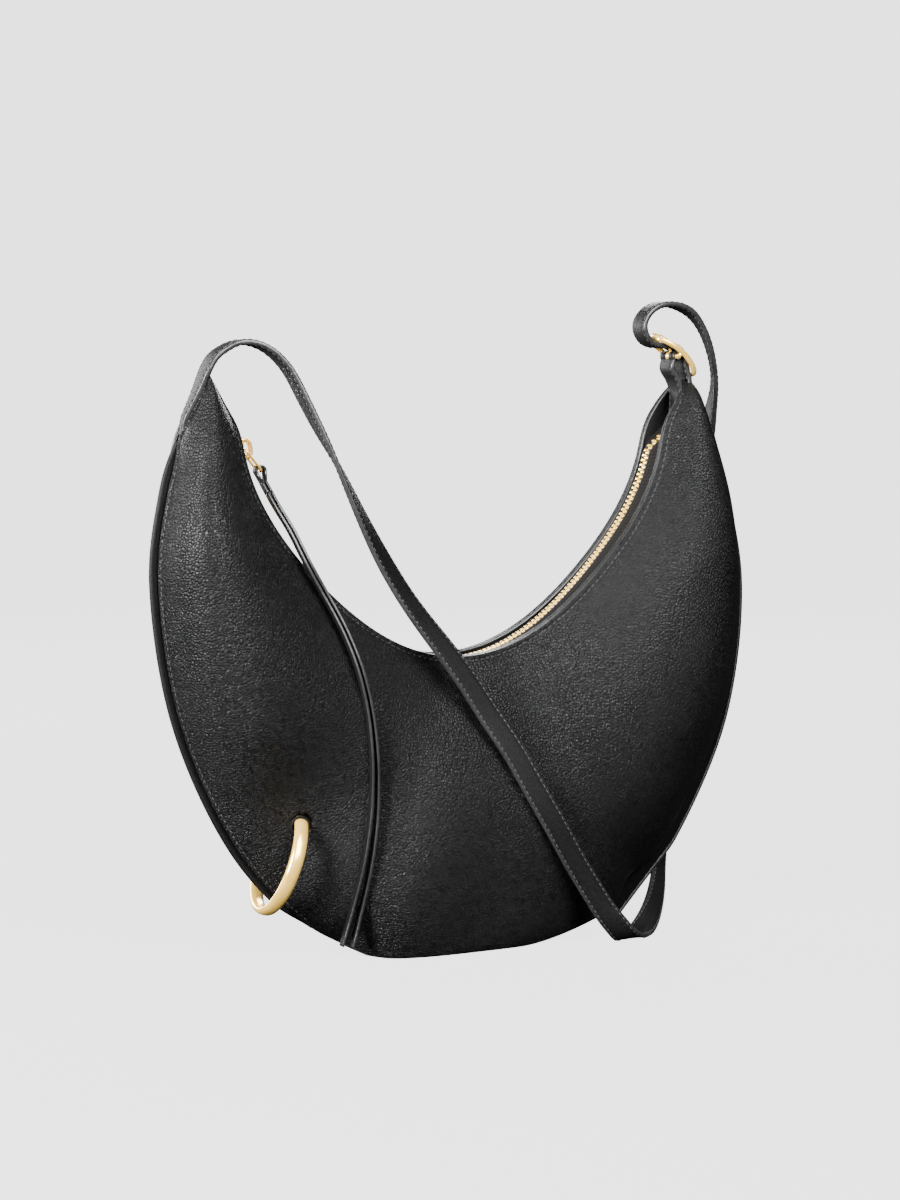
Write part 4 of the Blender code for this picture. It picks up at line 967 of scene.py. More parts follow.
def near_ring(p):
    """Whether a point of the wall is inside the hole that the ring goes through."""
    axis = ring_axes()[2]
    q = Vector(p) - upright(RING_X, RING_Z)
    off = q.dot(axis)
    flat = q - axis * off
    beside = off / (RING_BAND_WIDTH / 2 + RING_HOLE_SIDE)
    return hypot(beside, (flat.length - RING_RADIUS) / RING_HOLE_DEPTH) < 1


def make_shell(name, node, side, grid):
    rows, columns = grid.shape[:2]
    points = grid.reshape(-1, 3)
    faces = grid_faces(rows, columns, False, side < 0)
    kept = [f for f in faces if not near_ring(points[list(f)].mean(axis=0))]
    piece = mesh_piece(name, points, kept, [LEATHER_LOOK, SUEDE_LOOK, EDGE_LOOK], "bag")
    thicken(piece, LEATHER, 1, 2)
    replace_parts(piece, node)


def stitch_template():
    """One stitch: a short thread that rises from the leather and dives back."""
    points = []
    shape = ((-0.5, -0.9, 0.5), (-0.36, 0.0, 0.95), (0.0, 0.2, 1.05), (0.36, 0.0, 0.95), (0.5, -0.9, 0.5))
    for f, lift, size in shape:
        for c, h in circle(STITCH_SIDES):
            points.append((f * STITCH_LENGTH, STITCH_THREAD * size * c, STITCH_THREAD * (lift + size * h)))
    faces = grid_faces(len(shape), STITCH_SIDES, True, False)
    faces.append(tuple(range(STITCH_SIDES)))
    faces.append(tuple(range(len(points) - STITCH_SIDES, len(points)))[::-1])
    return np.array(points), faces


def stitch_row(name, line, normals, body, pitch=STITCH_PITCH):
    """Stitches along a line of points, lying flat on the surface there."""
    line = np.array(line)
    normals = np.array(normals)
    run = line_runs(line)

    def read(values, spot):
        return [np.interp(spot, run, values[:, c]) for c in range(3)]

    template, faces = stitch_template()
    verts = []
    all_faces = []
    for k in range(int(run[-1] / pitch)):
        spot = (k + 0.5) * pitch
        p = np.array(read(line, spot))
        x = Vector(np.array(read(line, spot + pitch / 4)) - p).normalized()
        n = Vector(read(normals, spot))
        z = (n - x * n.dot(x)).normalized()
        all_faces += [tuple(len(verts) + i for i in f) for f in faces]
        verts.extend(template @ np.array([x, z.cross(x), z]) + p)
    return mesh_piece(name, verts, all_faces, [THREAD_LOOK], body)


def shell_stitches(side, word, grid):
    """Rows of stitches along the lip and along both side seams of one panel."""
    normals = FRONT_NORMALS * np.array((1, side, 1))
    stitch_row(word + "_lip_stitches", grid[6:-6, LIP_STITCH_COLUMN], normals[6:-6, LIP_STITCH_COLUMN],
               "bag")
    ends = (TONGUE_END_ROW + TONGUE_END_ROWS, place_at_angle(radians(LEFT_STITCH_END_DEGREES)),
            place_at_angle(radians(RIGHT_STITCH_END_DEGREES)))
    tongue_end, left_end, right_end = np.searchsorted(SHELL_PLACES, ends)
    for part, start, end in (("left", tongue_end, left_end), ("right", right_end, SHELL_STATIONS - 8)):
        stitch_row("%s_%s_seam_stitches" % (word, part), grid[start:end, SEAM_STITCH_COLUMN],
                   normals[start:end, SEAM_STITCH_COLUMN], "bag")


def make_base():
    """Flat leather base that turns up at both ends, with a rounded border."""
    rows = []
    for place in even_places(0.0, LAST_ROW, SHELL_STATIONS * 2):
        s = station(place)
        half = s["base_half"] - LEATHER
        if s["base_share"] < BASE_END_share and half > LEATHER:
            x, z = s["outer"].x, s["outer"].z + BASE_LIFT
            rows.append([(x, half * f, z) for f in np.linspace(-1, 1, BASE_COLUMNS)])
    grid = gauss_smooth(np.array(rows), BASE_SMOOTHING)
    grid[:, :, 2] = np.maximum(grid[:, :, 2], BASE_LIFT)
    piece = mesh_piece("base_skin", grid.reshape(-1, 3), grid_faces(*grid.shape[:2], False, False),
                       [LEATHER_LOOK, SUEDE_LOOK, EDGE_LOOK], "bag")
    thicken(piece, LEATHER, 1, 2)
    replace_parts(piece, "base_panel")


def sweep(name, rings, looks, body, picks=None, closed=False):
    """Closed solid through rings of points, with flat caps unless the rings close on themselves."""
    count = len(rings[0])
    last = (len(rings) - 1) * count
    verts = [p for ring in rings for p in ring]
    faces = grid_faces(len(rings), count, True, False)
    if closed:
        faces += [(last + j, last + (j + 1) % count, (j + 1) % count, j) for j in range(count)]
    else:
        faces.append(tuple(range(count))[::-1])
        faces.append(tuple(range(last, last + count)))
    chosen = picks and picks * (len(rings) - 1) + (picks if closed else [1, 1])
    return mesh_piece(name, verts, faces, looks, body, chosen)


def gold_sweep(name, rings, body, closed=False):
    return sweep(name, rings, [GOLD_LOOK], body, None, closed)


def make_welt(name, node, start, end, ear, looks):
    """Seam strip between the panels, with a beaded outer edge; it thins out where it meets base and strap."""
    h = WELT_THICKNESS / 2
    neck = h * (0.6 if ear else 0.9)
    bead = [(cos(radians(a)), sin(radians(a))) for a in np.linspace(-120, 120, 13)]

    def ring_at(root, side, inside, width):
        shoulder = max(width - 2.2 * h, GAP - inside)
        spots = [(-inside, neck), (-inside, -neck), (shoulder, -neck)]
        spots += [(width - h + h * c, b * h) for c, b in bead]
        spots.append((shoulder, neck))
        return [root + side * a + Vector((0.0, b, 0.0)) for a, b in spots]

    rings = []
    for k, place in enumerate(even_places(start, end, WELT_RINGS)):
        s = dressed_station(place)
        width = (s["outer"] - s["seam"]).length
        if not ear:
            width = width * ease((WELT_RINGS - 1 - k) / WELT_FADE_RINGS) + 2 * GAP
        rings.append(ring_at(s["seam"], s["along"], WELT_ROOT, width))
    if ear:
        first = s["outer"]
        for k in range(1, EAR_RINGS + 1):
            g = k / EAR_RINGS
            edge = first * (1 - g) ** 2 + EAR_BEND * (2 * g * (1 - g)) + EAR_END * g ** 2
            run = ((EAR_BEND - first) * (1 - g) + (EAR_END - EAR_BEND) * g).normalized()
            side = s["along"].lerp(Vector((-run.z, 0.0, run.x)), ease(g * 3)).normalized()
            now = width * (1 - g) ** 2 + EAR_SWELL * 2 * g * (1 - g) + EAR_WIDTH * g ** 2
            rings.append(ring_at(edge - side * now, side, WELT_ROOT * (1 - g), now))
    grid = gauss_smooth(np.array([[tuple(p) for p in ring] for ring in rings]), WELT_SMOOTHING)
    grid[:, :, 2] = np.maximum(grid[:, :, 2], 0.0)
    picks = [0, 0, 0] + [1] * (len(bead) - 1) + [0, 0]
    piece = sweep(name, [[Vector(p) for p in ring] for ring in grid], looks, "bag", picks)
    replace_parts(piece, node)


def make_tape(name, node, side):
    """Cloth tape from its tooth row to where it is sewn under the lip, with its stitches."""
    grid = []
    angles = np.linspace(TAPE_START, TAPE_END, TAPE_RINGS)
    for angle in angles:
        s = station(place_at_angle(angle))
        inner = ROW_BACK - 4 * GAP + row_shift(angle)
        dip = dip_share(angle)
        top = chain_drop(angle) - TAPE / 2
        step = max(s["gap"] - 3 * GAP, ROW_BACK + 10 * GAP)
        under = max(top, LEATHER + 2 * GAP)
        reach = max(s["lip"] - LEATHER - 4 * GAP, 0.0) * (1 - dip)
        edge = max(top, LEATHER + s["lip"] * LIP_SLOPE_share + 2 * GAP)
        spots = [(inner, top), (step * 0.5, top), (step * 0.8, (top + under) / 2), (step, under),
                 (step + 4 * GAP + reach, edge)]
        columns = smooth_rows(spots, TAPE_COLUMNS)
        grid.append([tuple(BACKWARDS * (-y * side) + mouth_place(angle, drop)) for y, drop in columns])
    grid = np.array(grid)
    piece = mesh_piece(name, grid.reshape(-1, 3), grid_faces(*grid.shape[:2], False, side < 0),
                       [TAPE_LOOK], "bag")
    thicken(piece, TAPE)
    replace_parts(piece, node)
    out = [tuple(upright(-sin(angle), cos(angle))) for angle in angles[4:-4]]
    stitch_row(name + "_stitches", grid[4:-4, 2], out, "bag", TAPE_STITCH_PITCH)


def tooth_template():
    """One metal tooth: legs that clamp the tape and a rounded head with a hollow."""
    bm = bmesh.new()
    bmesh.ops.create_cube(bm, size=1.0)
    long_side = ROW_BACK + TOOTH_REACH
    bmesh.ops.scale(bm, vec=(TOOTH_LENGTH, long_side, TOOTH_THICKNESS), verts=bm.verts)
    bmesh.ops.translate(bm, vec=(0.0, (ROW_BACK - TOOTH_REACH) / 2, 0.0), verts=bm.verts)
    bmesh.ops.bisect_plane(bm, geom=bm.verts[:] + bm.edges[:] + bm.faces[:],
                           plane_co=(0.0, ROW_FRONT * TOOTH_CUT_share, 0.0), plane_no=(0.0, 1.0, 0.0))
    for v in bm.verts:
        if v.co.y < ROW_FRONT * TOOTH_LEG_share:
            v.co.x *= LEG_LENGTH_share
            v.co.z *= LEG_THICKNESS_share
    bmesh.ops.bevel(bm, geom=bm.edges[:], offset=TOOTH_LENGTH * TOOTH_BEVEL_share, segments=2,
                    affect="EDGES", profile=0.6)
    bm.verts.index_update()
    points = np.array([tuple(v.co) for v in bm.verts])
    faces = [tuple(v.index for v in f.verts) for f in bm.faces]
    bm.free()
    return points, faces


def make_teeth(name, node, side):
    """Row of metal teeth along the zip line, on a corded edge of the tape."""
    pitch = TOOTH_PITCH / MOUTH_RADIUS
    phase = 0.0 if side > 0 else 0.5
    template, faces = tooth_template()
    faces = [f[::-1] for f in faces] if side > 0 else faces
    verts = []
    all_faces = []
    for k in range(int((ROW_END - ROW_START) / pitch) - 1):
        angle = ROW_START + (k + 0.5 + phase) * pitch
        centre, turn = zip_frame(angle)
        local = (template + np.array((0.0, row_shift(angle), 0.0))) * np.array((1.0, -side, 1.0))
        all_faces += [tuple(len(verts) + i for i in f) for f in faces]
        verts.extend(local @ np.array(turn).T + np.array(centre))
    piece = mesh_piece(name, verts, all_faces, [GOLD_LOOK], "bag")
    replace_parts(piece, node)
    bead = []
    for angle in np.linspace(ROW_START, ROW_END, BEAD_POINTS):
        bead.append(zip_frame(angle)[0] + BACKWARDS * (-(ROW_BACK - BEAD_INSET + row_shift(angle)) * side))
    tube(name + "_bead", bead, BEAD_WIRE, [TAPE_LOOK], "bag", 8)


def line_frames(points, hint, closed=False):
    """Direction, side and up at each point of a line, with up near a hint."""
    frames = []
    for i in range(len(points)):
        along = direction_at(points, i)
        if closed:
            along = (points[(i + 1) % len(points)] - points[i - 1]).normalized()
        up = hint - along * hint.dot(along)
        up = up.normalized() if up.length > 1e-6 else along.orthogonal().normalized()
        frames.append((along, along.cross(up), up))
    return frames


def tube(name, points, radius, looks, body, sides=16, closed=False, hint=BACKWARDS):
    """Round wire along points; radius may be a number or one for each point."""
    radii = radius if isinstance(radius, list) else [radius] * len(points)
    rings = []
    for p, r, (_, side, up) in zip(points, radii, line_frames(points, hint, closed)):
        rings.append([p + side * (r * c) + up * (r * h) for c, h in circle(sides)])
    return sweep(name, rings, looks, body, None, closed)


def gold_wire(name, points, radius, body, sides=16, closed=False, hint=BACKWARDS):
    return tube(name, points, radius, [GOLD_LOOK], body, sides, closed, hint)


def ribbon(name, points, faces_out, half_widths, half_thickness, body, node, crown=0.12):
    """Leather strap with crowned faces, grooves and painted edges, and its four stitch lines."""
    face = [(f, 1 + crown * (1 - f * f) - (0.20 if abs(f) == STITCH_SHARE else 0.0))
            for f in (-0.9, -STITCH_SHARE, -0.68, -0.35, 0.0, 0.35, 0.68, STITCH_SHARE, 0.9)]
    edge = [(0.97, 0.75), (1.0, 0.3), (1.0, -0.3), (0.97, -0.75)]
    loop = face + edge + [(f, -h) for f, h in face[::-1]] + [(-f, -h) for f, h in edge]
    picks = ([0] * (len(face) - 1) + [1] * 5) * 2
    thickness = half_thickness if isinstance(half_thickness, list) else [half_thickness] * len(points)
    rings = []
    lines = {}
    for i, p in enumerate(points):
        along = direction_at(points, i)
        out = (faces_out[i] - along * faces_out[i].dot(along)).normalized()
        across = along.cross(out)
        w = half_widths[i]
        t = thickness[i] / (1 + crown)
        ring = [p + across * (f * w) + out * (h * t) for f, h in loop]
        rings.append([Vector((q.x, q.y, max(q.z, GAP))) for q in ring])
        for word, f, h in (("outer_a", -STITCH_SHARE, 1), ("outer_b", STITCH_SHARE, 1),
                           ("inner_a", -STITCH_SHARE, -1), ("inner_b", STITCH_SHARE, -1)):
            spot = p + across * (f * w) + out * (h * t * 0.96)
            lines.setdefault(word, []).append((tuple(spot), tuple(out * h)))
    piece = sweep(name, rings, [STRAP_LOOK, EDGE_LOOK], body, picks)
    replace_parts(piece, node)
    return piece, lines


def strap_line():
    """Strap's middle line with its outer face's direction, from its sewn end to its tail."""
    rows = []
    place = 0.0
    run = 0.0
    sewn = []
    step = 0.05
    lift = STRAP_THICKNESS / 2 - TONGUE_LIFT
    while run < STRAP_SEWN_LENGTH:
        a = station(place)["outer"]
        b = station(place + step)["outer"]
        along = (a - b).normalized()
        out = upright(-along.z, along.x)
        if out.x > 0:
            out = -out
        if not sewn or (a - sewn[-1][2]).length > STRAP_SEWN_LENGTH / 5:
            sewn.append((a + out * lift, out, a.copy()))
        run += (b - a).length
        place += step
    for p, out, _ in sewn[::-1][:-1]:
        rows.append((*p, *out))
    for x, y, z, nx, ny, nz in STRAP_ROUTE_shares:
        rows.append((x * RIGHT_REACH, y * BELLY_HALF_DEPTH, z * BAG_HEIGHT, nx, ny, nz))
    middle, turn = buckle_axes()
    for u, h in STRAP_THREAD_shares:
        p = middle + turn @ upright(u * BUCKLE_HALF_LENGTH, h * BUCKLE_HALF_LENGTH)
        rows.append((*p, *(turn @ upright(0.0, -1.0))))
    for x, z, nx, nz in STRAP_TAIL_shares:
        rows.append((x * RIGHT_REACH, 0.0, z * BAG_HEIGHT, nx, 0.0, nz))
    return rows


def sew(name, lines, first, last):
    """Stitches along the four lines of a strap, between two of their points."""
    for word, row in lines.items():
        spots, normals = zip(*row[first:last])
        stitch_row(name + word, spots, normals, "bag")


def make_strap():
    """Shoulder strap with a pointed sewn end that thins out, its stitches and its holes."""
    rows = strap_line()
    samples = gauss_smooth(np.array(smooth_rows(rows, len(rows) * STRAP_STEPS)), STRAP_SMOOTHING)
    points = [Vector(r[:3]) for r in samples]
    out = [Vector(r[3:]).normalized() for r in samples]
    run = [0.0]
    for a, b in zip(points, points[1:]):
        run.append(run[-1] + (b - a).length)
    widths = [STRAP_WIDTH / 2 * tongue_share(r) for r in run]
    halves = [STRAP_THICKNESS / 2 * (0.4 + 0.6 * ease(r / TONGUE_SKIVE)) for r in run]
    sunk = [TONGUE_SINK * (1 - ease(r / TONGUE_SKIVE)) for r in run]
    points = [p - o * (STRAP_THICKNESS / 2 - t + d) for p, o, t, d in zip(points, out, halves, sunk)]
    _, lines = ribbon("shoulder_strap_leather", points, out, widths, halves, "bag",
                      "shoulder_strap")
    sew("strap_stitches_", lines, 6, -4)
    mark_holes(points, out, run)


def mark_holes(points, out, run):
    """Punched holes of the strap, each a dark recess with a pressed rim."""
    steps = ((1.5, 0.0), (1.35, 0.00022), (1.1, 0.0002), (0.9, -0.0002), (0.1, -0.0003))
    for k, spot in enumerate(HOLE_MARK_RUNS):
        i = int(np.searchsorted(run, spot))
        for word, sign in (("outer", 1), ("inner", -1)):
            n = out[i] * sign
            along = direction_at(points, i)
            n = (n - along * n.dot(along)).normalized()
            side = along.cross(n)
            rings = []
            for r, lift in steps:
                middle = points[i] + n * (STRAP_THICKNESS / 2 * 0.97 + lift)
                rings.append([middle + (along * c + side * h) * (HOLE_MARK_RADIUS * r)
                              for c, h in circle(HOLE_MARK_SIDES)])
            sweep("strap_hole_%s_%d" % (word, k), rings, [EDGE_LOOK], "bag")


def bar_rings(radials, outer_radius, wall_share, flat_share, shift, half_width):
    """Rings of an eye round the buckle's bar, one for each direction, with its outer edges rounded off."""
    middle, _ = buckle_axes()
    section = ((-1, 0.0), (-1, wall_share), (-flat_share, 1.0), (flat_share, 1.0), (1, wall_share), (1, 0.0))
    rings = []
    for radial in radials:
        ring = []
        for f, r in section:
            radius = BAR_RADIUS + GAP + (outer_radius - BAR_RADIUS - GAP) * r
            ring.append(middle + radial * radius + Vector((0.0, shift + f * half_width, 0.0)))
        rings.append(ring)
    return rings


def make_tab():
    """Leather tab folded round the buckle's bar, its layers going down into the horn."""
    middle, _ = buckle_axes()
    start = upright(middle.x - TAB_EYE_RADIUS * 0.35, middle.z - TAB_EYE_RADIUS * 0.55)
    route = smooth_rows(TAB_ROUTE_shares, TAB_POINTS)
    points = [start + upright(aside, -down) * TAB_LENGTH for aside, down in route]
    count = len(points)
    _, lines = ribbon("buckle_tab_leather", points, [upright(-1.0, 0.0)] * count, [STRAP_WIDTH / 2] * count,
                      TAB_THICKNESS / 2, "bag", "buckle_tab")
    sew("tab_stitches_", lines, 5, None)
    half = (STRAP_WIDTH / 2 + TAB_SLOT_HALF_WIDTH) / 2
    length = (STRAP_WIDTH / 2 - TAB_SLOT_HALF_WIDTH) * 0.98
    turns = [2 * k / (TAB_FOLD_RINGS - 1) - 1 for k in range(TAB_FOLD_RINGS)]
    angles = [radians(TAB_FOLD_DEGREES * f) for f in turns]
    for word, side in (("front", -1), ("back", 1)):
        rings = bar_rings([upright(sin(a), cos(a)) for a in angles], TAB_EYE_RADIUS, 0.75, 0.8, side * half,
                          length / 2)
        sweep("buckle_tab_fold_" + word, rings, [STRAP_LOOK, EDGE_LOOK], "bag",
              [1, 0, 0, 0, 1, 0])


def pull_strands():
    """Middle lines of the leather pull's two strands, its eye and the direction down from it."""
    pivot, turned = link_frame()
    eye = pivot + turned @ upright(LINK_LENGTH - 2 * LINK_WIRE, 0.0)
    rows = [(x * LEFT_REACH, y * BELLY_HALF_DEPTH, z * BAG_HEIGHT) for x, y, z in PULL_ROUTE_shares]
    down = Vector(rows[0]) - eye
    down = upright(down.x, down.z).normalized()
    rows = [tuple(eye + down * (PULL_LOOP_RADIUS * 2.2))] + rows
    middle = [Vector(r) for r in gauss_smooth(np.array(smooth_rows(rows, PULL_POINTS)), PULL_SMOOTHING)]
    strands = {-1: [], 1: []}
    for i, (p, (_, side, _)) in enumerate(zip(middle, line_frames(middle, BACKWARDS))):
        share = i / (len(middle) - 1)
        off = (PULL_THICKNESS + PULL_SPACE) / 2 + PULL_SPREAD * share ** 3
        for sign in strands:
            strands[sign].append(p + side * (off * sign))
    return strands, eye, down


def make_pull():
    """One leather strip folded through the link; its two free ends hang down the front."""
    strands, eye, down = pull_strands()
    across = (strands[1][0] - strands[-1][0]).normalized()
    bend = []
    for k in range(1, PULL_BEND_STEPS):
        a = pi * k / PULL_BEND_STEPS
        bend.append(eye + (across * cos(a) - down * sin(a)) * PULL_LOOP_RADIUS)
    first = PULL_STRAND_START
    parts = {
        "pull_loop": strands[1][first::-1] + bend + strands[-1][:first + 1],
        "pull_strand_right": strands[1][first:],
        "pull_strand_left": strands[-1][first:],
    }
    for name, points in parts.items():
        count = len(points)
        out = [direction_at(points, i).cross(BACKWARDS).normalized() for i in range(count)]
        piece, _ = ribbon(name, points, out, [PULL_WIDTH / 2] * count, PULL_THICKNESS / 2, "pull",
                          "leather_pull", 0.1)


def make_link():
    """Long wire link between the slider's bow and the pull."""
    pivot, turned = link_frame()
    r = (LINK_WIDTH - 2 * LINK_WIRE) / 2
    length = LINK_LENGTH - 2 * LINK_WIRE
    corner = r * 0.7
    points = []
    for cx, start in ((corner, pi), (length - corner, 0.0)):
        for k in range(21):
            a = start - pi / 2 + pi * k / 20
            points.append(pivot + turned @ Vector((cx + corner * cos(a), r * sin(a), 0.0)))
    piece = gold_wire("puller_link_wire", points, LINK_WIRE, "link", 16, True, turned @ upright(0.0, 1.0))
    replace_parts(piece, "puller_link")


def make_slider():
    """Two shield-shaped plates joined by a neck, turned-in sides, and a bow on top."""
    centre, turn = zip_frame(SLIDER_ANGLE)
    near = TOOTH_THICKNESS / 2 + GAP
    far = near + SLIDER_PLATE
    pieces = []
    for word, sign in (("top", 1), ("under", -1)):
        rings = []
        for f in np.linspace(-1.0, 1.0, SLIDER_RINGS):
            x = SLIDER_HALF_LENGTH * f
            inner = ROW_BACK + 1.5 * GAP + row_shift(SLIDER_ANGLE + x / MOUTH_RADIUS)
            half = inner + SLIDER_WALL
            edge = half * SLIDER_EDGE_share
            flat = half * SLIDER_TOP_share
            top = far - SLIDER_PLATE * (1 - (1 - abs(f) ** 10) ** 0.5) * 0.6
            shoulder = top - SLIDER_CHAMFER
            slot = SLIDER_SLOT_HALF
            spots = [(-half, slot), (-half, near), (-edge, shoulder), (-flat, top), (flat, top),
                     (edge, shoulder), (half, near), (half, slot), (inner, slot), (inner, near),
                     (-inner, near), (-inner, slot)]
            rings.append([centre + turn @ Vector((x, y, z * sign)) for y, z in spots])
        pieces.append(gold_sweep("slider_plate_" + word, rings, "slider"))
    neck_x = -SLIDER_HALF_LENGTH * NECK_PLACE_share
    neck = []
    for z in np.linspace(-far, far, 5):
        neck.append([centre + turn @ Vector((neck_x + NECK_HALF_LENGTH * c, NECK_HALF_WIDTH * h, z))
                     for c, h in circle(16)])
    gold_sweep("slider_neck", neck, "slider")
    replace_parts(pieces[0], "zip_slider")
    pivot, _ = link_frame()
    foot = BAIL_WIRE - LINK_WIRE
    crown = LINK_WIRE + GAP + BAIL_SLACK + BAIL_WIRE + BAIL_RISE
    rise = crown - foot + BAIL_WIRE
    half_bow = [(-1.0, -0.25), (-1.0, 0.1), (-0.97, 0.45), (-0.8, 0.8), (-0.4, 1.0)]
    shape = half_bow + [(-a, b) for a, b in half_bow[::-1]]
    points = [pivot + turn @ upright(BAIL_HALF_LENGTH * BAIL_STRETCH * a, foot - BAIL_WIRE + rise * b)
              for a, b in smooth_rows(shape, 40)]
    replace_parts(gold_wire("slider_bow", points, BAIL_WIRE + BAIL_POLISH, "slider"), "slider_bail")


def make_ring():
    """Half-round gold band through the corner of the bag."""
    hang, through, axis = ring_axes()
    middle = upright(RING_X, RING_Z)
    t = RING_BAND_THICKNESS / 2 + RING_POLISH
    w = RING_BAND_WIDTH / 2 + RING_POLISH
    section = []
    for c, h in circle(RING_SIDES):
        squash_share = 1.0 if c > 0 else RING_INNER_share
        section.append((t * squash_share * copysign(abs(c) ** RING_ROUND_share, c),
                        w * copysign(abs(h) ** RING_FLAT_share, h)))
    rings = []
    for c, h in circle(RING_STEPS):
        radial = hang * c + through * h
        rings.append([middle + radial * (RING_RADIUS + r) + axis * z for r, z in section])
    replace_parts(gold_sweep("corner_ring_band", rings, "ring", True), "corner_ring")


def make_facing(side, word, node):
    """Raised leather rim round the ring's hole, lying on the panel."""
    hole = hole_centre()
    hole.y *= side
    points = dented_grid(side).reshape(-1, 3)
    normals = (FRONT_NORMALS * np.array((1, side, 1))).reshape(-1, 3)

    def surface_near(spot):
        i = np.argmin(np.linalg.norm(points - np.array(spot), axis=1))
        return Vector(points[i]), Vector(normals[i])

    axis = ring_axes()[2]
    n = surface_near(hole)[1]
    across = (axis - n * axis.dot(n)).normalized()
    other = n.cross(across)
    wide = RING_BAND_WIDTH / 2 + RIM_WIRE * RIM_WIRES_BESIDE
    deep = RING_BAND_THICKNESS / 2 + RIM_WIRE * RIM_WIRES_BEYOND
    rings = []
    for c, h in circle(RIM_STEPS):
        line = across * (c * wide) + other * (h * deep)
        spot = hole + line
        flat, normal = surface_near(spot)
        lifted = spot - normal * (spot - flat).dot(normal)
        outward = line.normalized()
        rings.append([lifted + outward * (RIM_WIRE * RIM_FLATNESS * a) + normal * (RIM_WIRE * b)
                      for a, b in circle(RIM_SIDES)])
    piece = sweep(word + "_ring_rim", rings, [LEATHER_LOOK], "bag", None, True)
    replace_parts(piece, node)


def make_buckle():
    """Square wire frame with its bar, and the prong that turns on the bar."""
    middle, turn = buckle_axes()
    up = turn @ upright(0.0, 1.0)
    points = []
    for c, s in circle(FRAME_STEPS):
        u = BUCKLE_HALF_LENGTH * c
        y = BUCKLE_HALF_WIDTH * copysign(abs(s) ** BUCKLE_SQUARE_share, s)
        h = BUCKLE_ARCH * (1 - (u / BUCKLE_HALF_LENGTH) ** 2)
        points.append(middle + turn @ Vector((u, y, h)))
    wire = gold_wire("buckle_frame_wire", points, BUCKLE_WIRE + BUCKLE_POLISH, "buckle", 16, True, up)
    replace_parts(wire, "buckle_frame")
    shape = ((-1.0, 0.85), (-0.86, 0.25), (-0.72, 0.0), (0.72, 0.0), (0.86, 0.25), (1.0, 0.85))
    bar = [middle + turn @ Vector((0.0, y * BUCKLE_HALF_WIDTH, h * BUCKLE_ARCH))
           for y, h in smooth_rows(shape, 30)]
    gold_wire("buckle_bar_wire", bar, BAR_RADIUS, "buckle", 14, False, up)
    prong = [middle + turn @ upright(u * BUCKLE_HALF_LENGTH, h * BUCKLE_HALF_LENGTH)
             for u, h in smooth_rows(PRONG_shares, PRONG_POINTS)]
    tip = PRONG_POINTS - PRONG_TIP_POINTS
    radii = [PRONG_RADIUS * (1 - 0.25 * ease((i - tip) / PRONG_TIP_POINTS)) for i in range(PRONG_POINTS)]
    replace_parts(gold_wire("prong_shank", prong, radii, "prong", 14), "buckle_prong")
    radials = [turn @ upright(c, h) for c, h in circle(PRONG_EYE_STEPS)]
    rings = bar_rings(radials, PRONG_EYE_RADIUS, 0.7, 0.7, 0.0, PRONG_EYE_HALF_WIDTH)
    gold_sweep("prong_eye", rings, "prong", True)


def paint(node, look):
    """Gives a CAD node that stays its own detailed material."""
    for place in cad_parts[node].material_slots:
        place.material = look


def make_stage():
    """Pale floor that curves up into a pale wall far behind the bag."""
    look, tree, shader = new_material("pale_studio_floor", (0.06, 0.06, 0.06), 1.0, specular=0.0)
    shader.inputs["Emission Color"].default_value = (1.0, 1.0, 1.0, 1.0)
    shader.inputs["Emission Strength"].default_value = FLOOR_GLOW
    mottle = texture(tree, object_places(tree), "Noise", Scale=3.0)
    tint(tree, shader, mottle.outputs["Fac"], (0.058, 0.058, 0.058), (0.062, 0.062, 0.062))
    flat_end = FLOOR_DEPTH - FLOOR_BEND
    rows = [(-FLOOR_DEPTH, 0.0), (flat_end, 0.0)]
    for a in np.linspace(0, pi / 2, FLOOR_BEND_STEPS)[1:]:
        rows.append((flat_end + FLOOR_BEND * sin(a), FLOOR_BEND - FLOOR_BEND * cos(a)))
    rows.append((FLOOR_DEPTH, WALL_HEIGHT))
    away = Vector((-sin(CAMERA_AZIMUTH), cos(CAMERA_AZIMUTH), 0.0))
    across = Vector((away.y, -away.x, 0.0))
    sides = (-FLOOR_HALF_WIDTH, FLOOR_HALF_WIDTH)
    verts = [away * y + across * x + upright(0.0, z) for y, z in rows for x in sides]
    mesh = bpy.data.meshes.new("studio_floor")
    mesh.from_pydata(verts, [], grid_faces(len(rows), 2, False, False))
    mesh.materials.append(look)
    mesh.shade_smooth()
    floor_piece = bpy.data.objects.new("studio_floor", mesh)
    bpy.context.scene.collection.objects.link(floor_piece)
    floor_piece.visible_glossy = False
    floor_piece.visible_diffuse = False


def area_light(name, place, target, size, power):
    light = bpy.data.lights.new(name, "AREA")
    light.shape = "RECTANGLE"
    light.size, light.size_y = size
    light.energy = power
    thing = bpy.data.objects.new(name, light)
    thing.location = place
    thing.rotation_euler = (Vector(target) - Vector(place)).to_track_quat("-Z", "Y").to_euler()
    bpy.context.scene.collection.objects.link(thing)


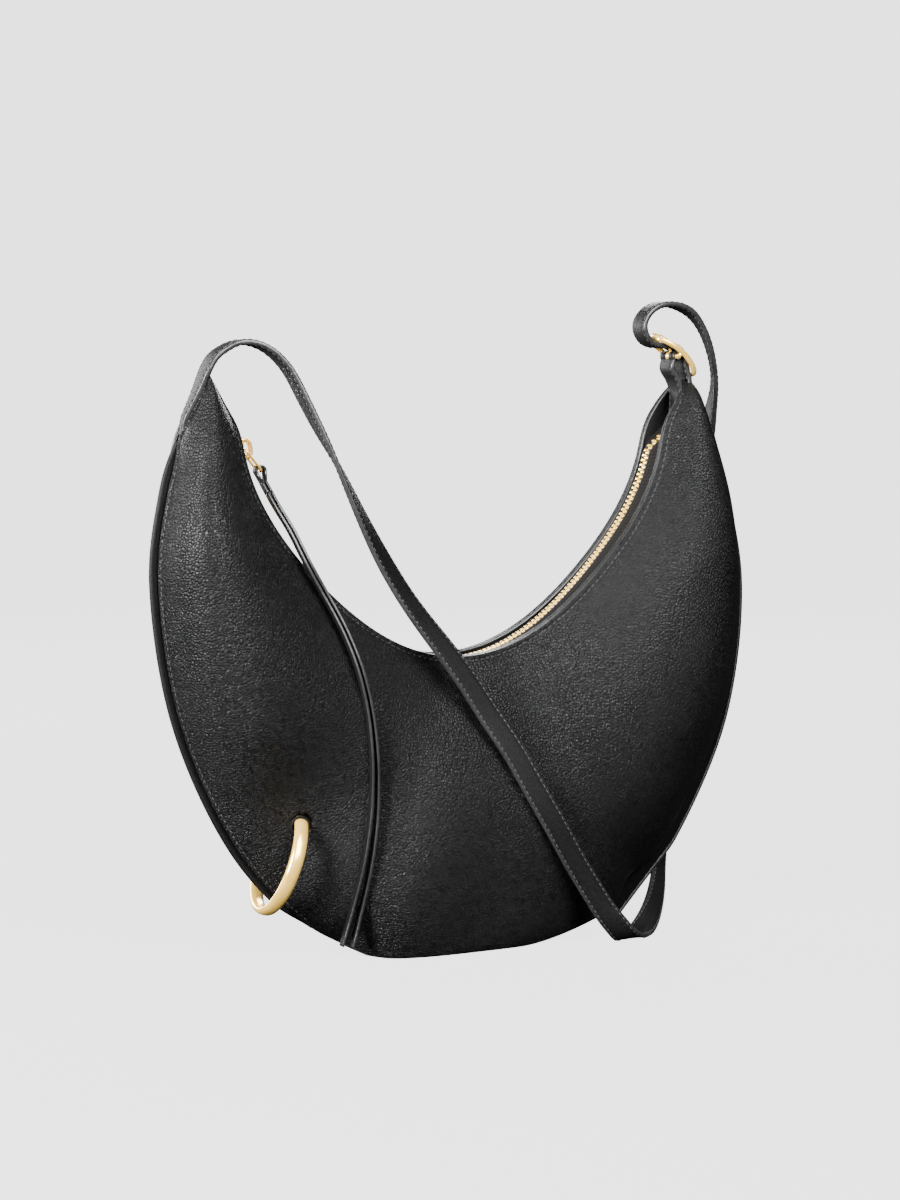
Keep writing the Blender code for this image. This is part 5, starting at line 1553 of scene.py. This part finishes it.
def make_lights():
    world = bpy.data.worlds.new("studio")
    world.use_nodes = True
    tree = world.node_tree
    places = tree.nodes.new("ShaderNodeTexCoord")
    facing = tree.nodes.new("ShaderNodeVectorMath")
    facing.operation = "DOT_PRODUCT"
    facing.inputs[1].default_value = ROOM_FRONT
    tree.links.new(places.outputs["Generated"], facing.inputs[0])
    glow = ramp(tree, facing.outputs["Value"], -0.3, 0.9, ROOM_BACK_GLOW, ROOM_FRONT_GLOW)
    tree.links.new(glow, tree.nodes["Background"].inputs["Strength"])
    bpy.context.scene.world = world
    for row in LIGHTS:
        area_light(*row)


def make_camera():
    """Camera with the photo's viewpoint, focal length and frame."""
    camera = bpy.data.cameras.new("camera")
    camera.sensor_fit = "VERTICAL"
    camera.sensor_height = SENSOR * 1000
    camera.sensor_width = SENSOR * 1000 * PHOTO_WIDTH / PHOTO_HEIGHT
    camera.lens = SENSOR * 1000 * PHOTO_FOCAL / PHOTO_HEIGHT
    camera.clip_start = CAMERA_NEAR
    camera.clip_end = CAMERA_FAR
    thing = bpy.data.objects.new("camera", camera)
    level = cos(CAMERA_ELEVATION)
    back = Vector((sin(CAMERA_AZIMUTH) * level, -cos(CAMERA_AZIMUTH) * level, sin(CAMERA_ELEVATION)))
    thing.location = CAMERA_TARGET + back * CAMERA_DISTANCE
    thing.rotation_mode = "QUATERNION"
    thing.rotation_quaternion = (-back).to_track_quat("-Z", "Y")
    bpy.context.scene.collection.objects.link(thing)
    bpy.context.scene.camera = thing


make_camera()
make_stage()
make_lights()
for side, word in ((1, "front"), (-1, "back")):
    worked = dented_grid(side)
    make_shell(word + "_shell", word + "_panel", side, worked)
    shell_stitches(side, word, worked)
make_base()
make_welt("left_welt_strip", "left_welt", TONGUE_END_ROW, place_at_angle(radians(LEFT_WELT_END_DEGREES)),
          False, [STRAP_LOOK, STRAP_LOOK])
# The right welt's strip carries painted shade; its bead is edge-painted leather.
make_welt("right_welt_strip", "right_welt", RIGHT_WELT_START, place_at_angle(radians(RIGHT_WELT_END_DEGREES)),
          True, [WELT_SHADE_LOOK, EDGE_LOOK])
for side, word in ((1, "front"), (-1, "back")):
    make_tape(word + "_tape", word + "_zip_tape", side)
    make_teeth(word + "_teeth", word + "_zip_teeth", side)
    make_facing(side, word, word + "_ring_facing")
    paint(word + "_lining", LINING_LOOK)
    paint(word + "_top_stop", GOLD_LOOK)
paint("bottom_stop", GOLD_LOOK)
paint("base_board", BOARD_LOOK)
make_slider()
make_link()
make_pull()
make_ring()
make_strap()
make_tab()
make_buckle()
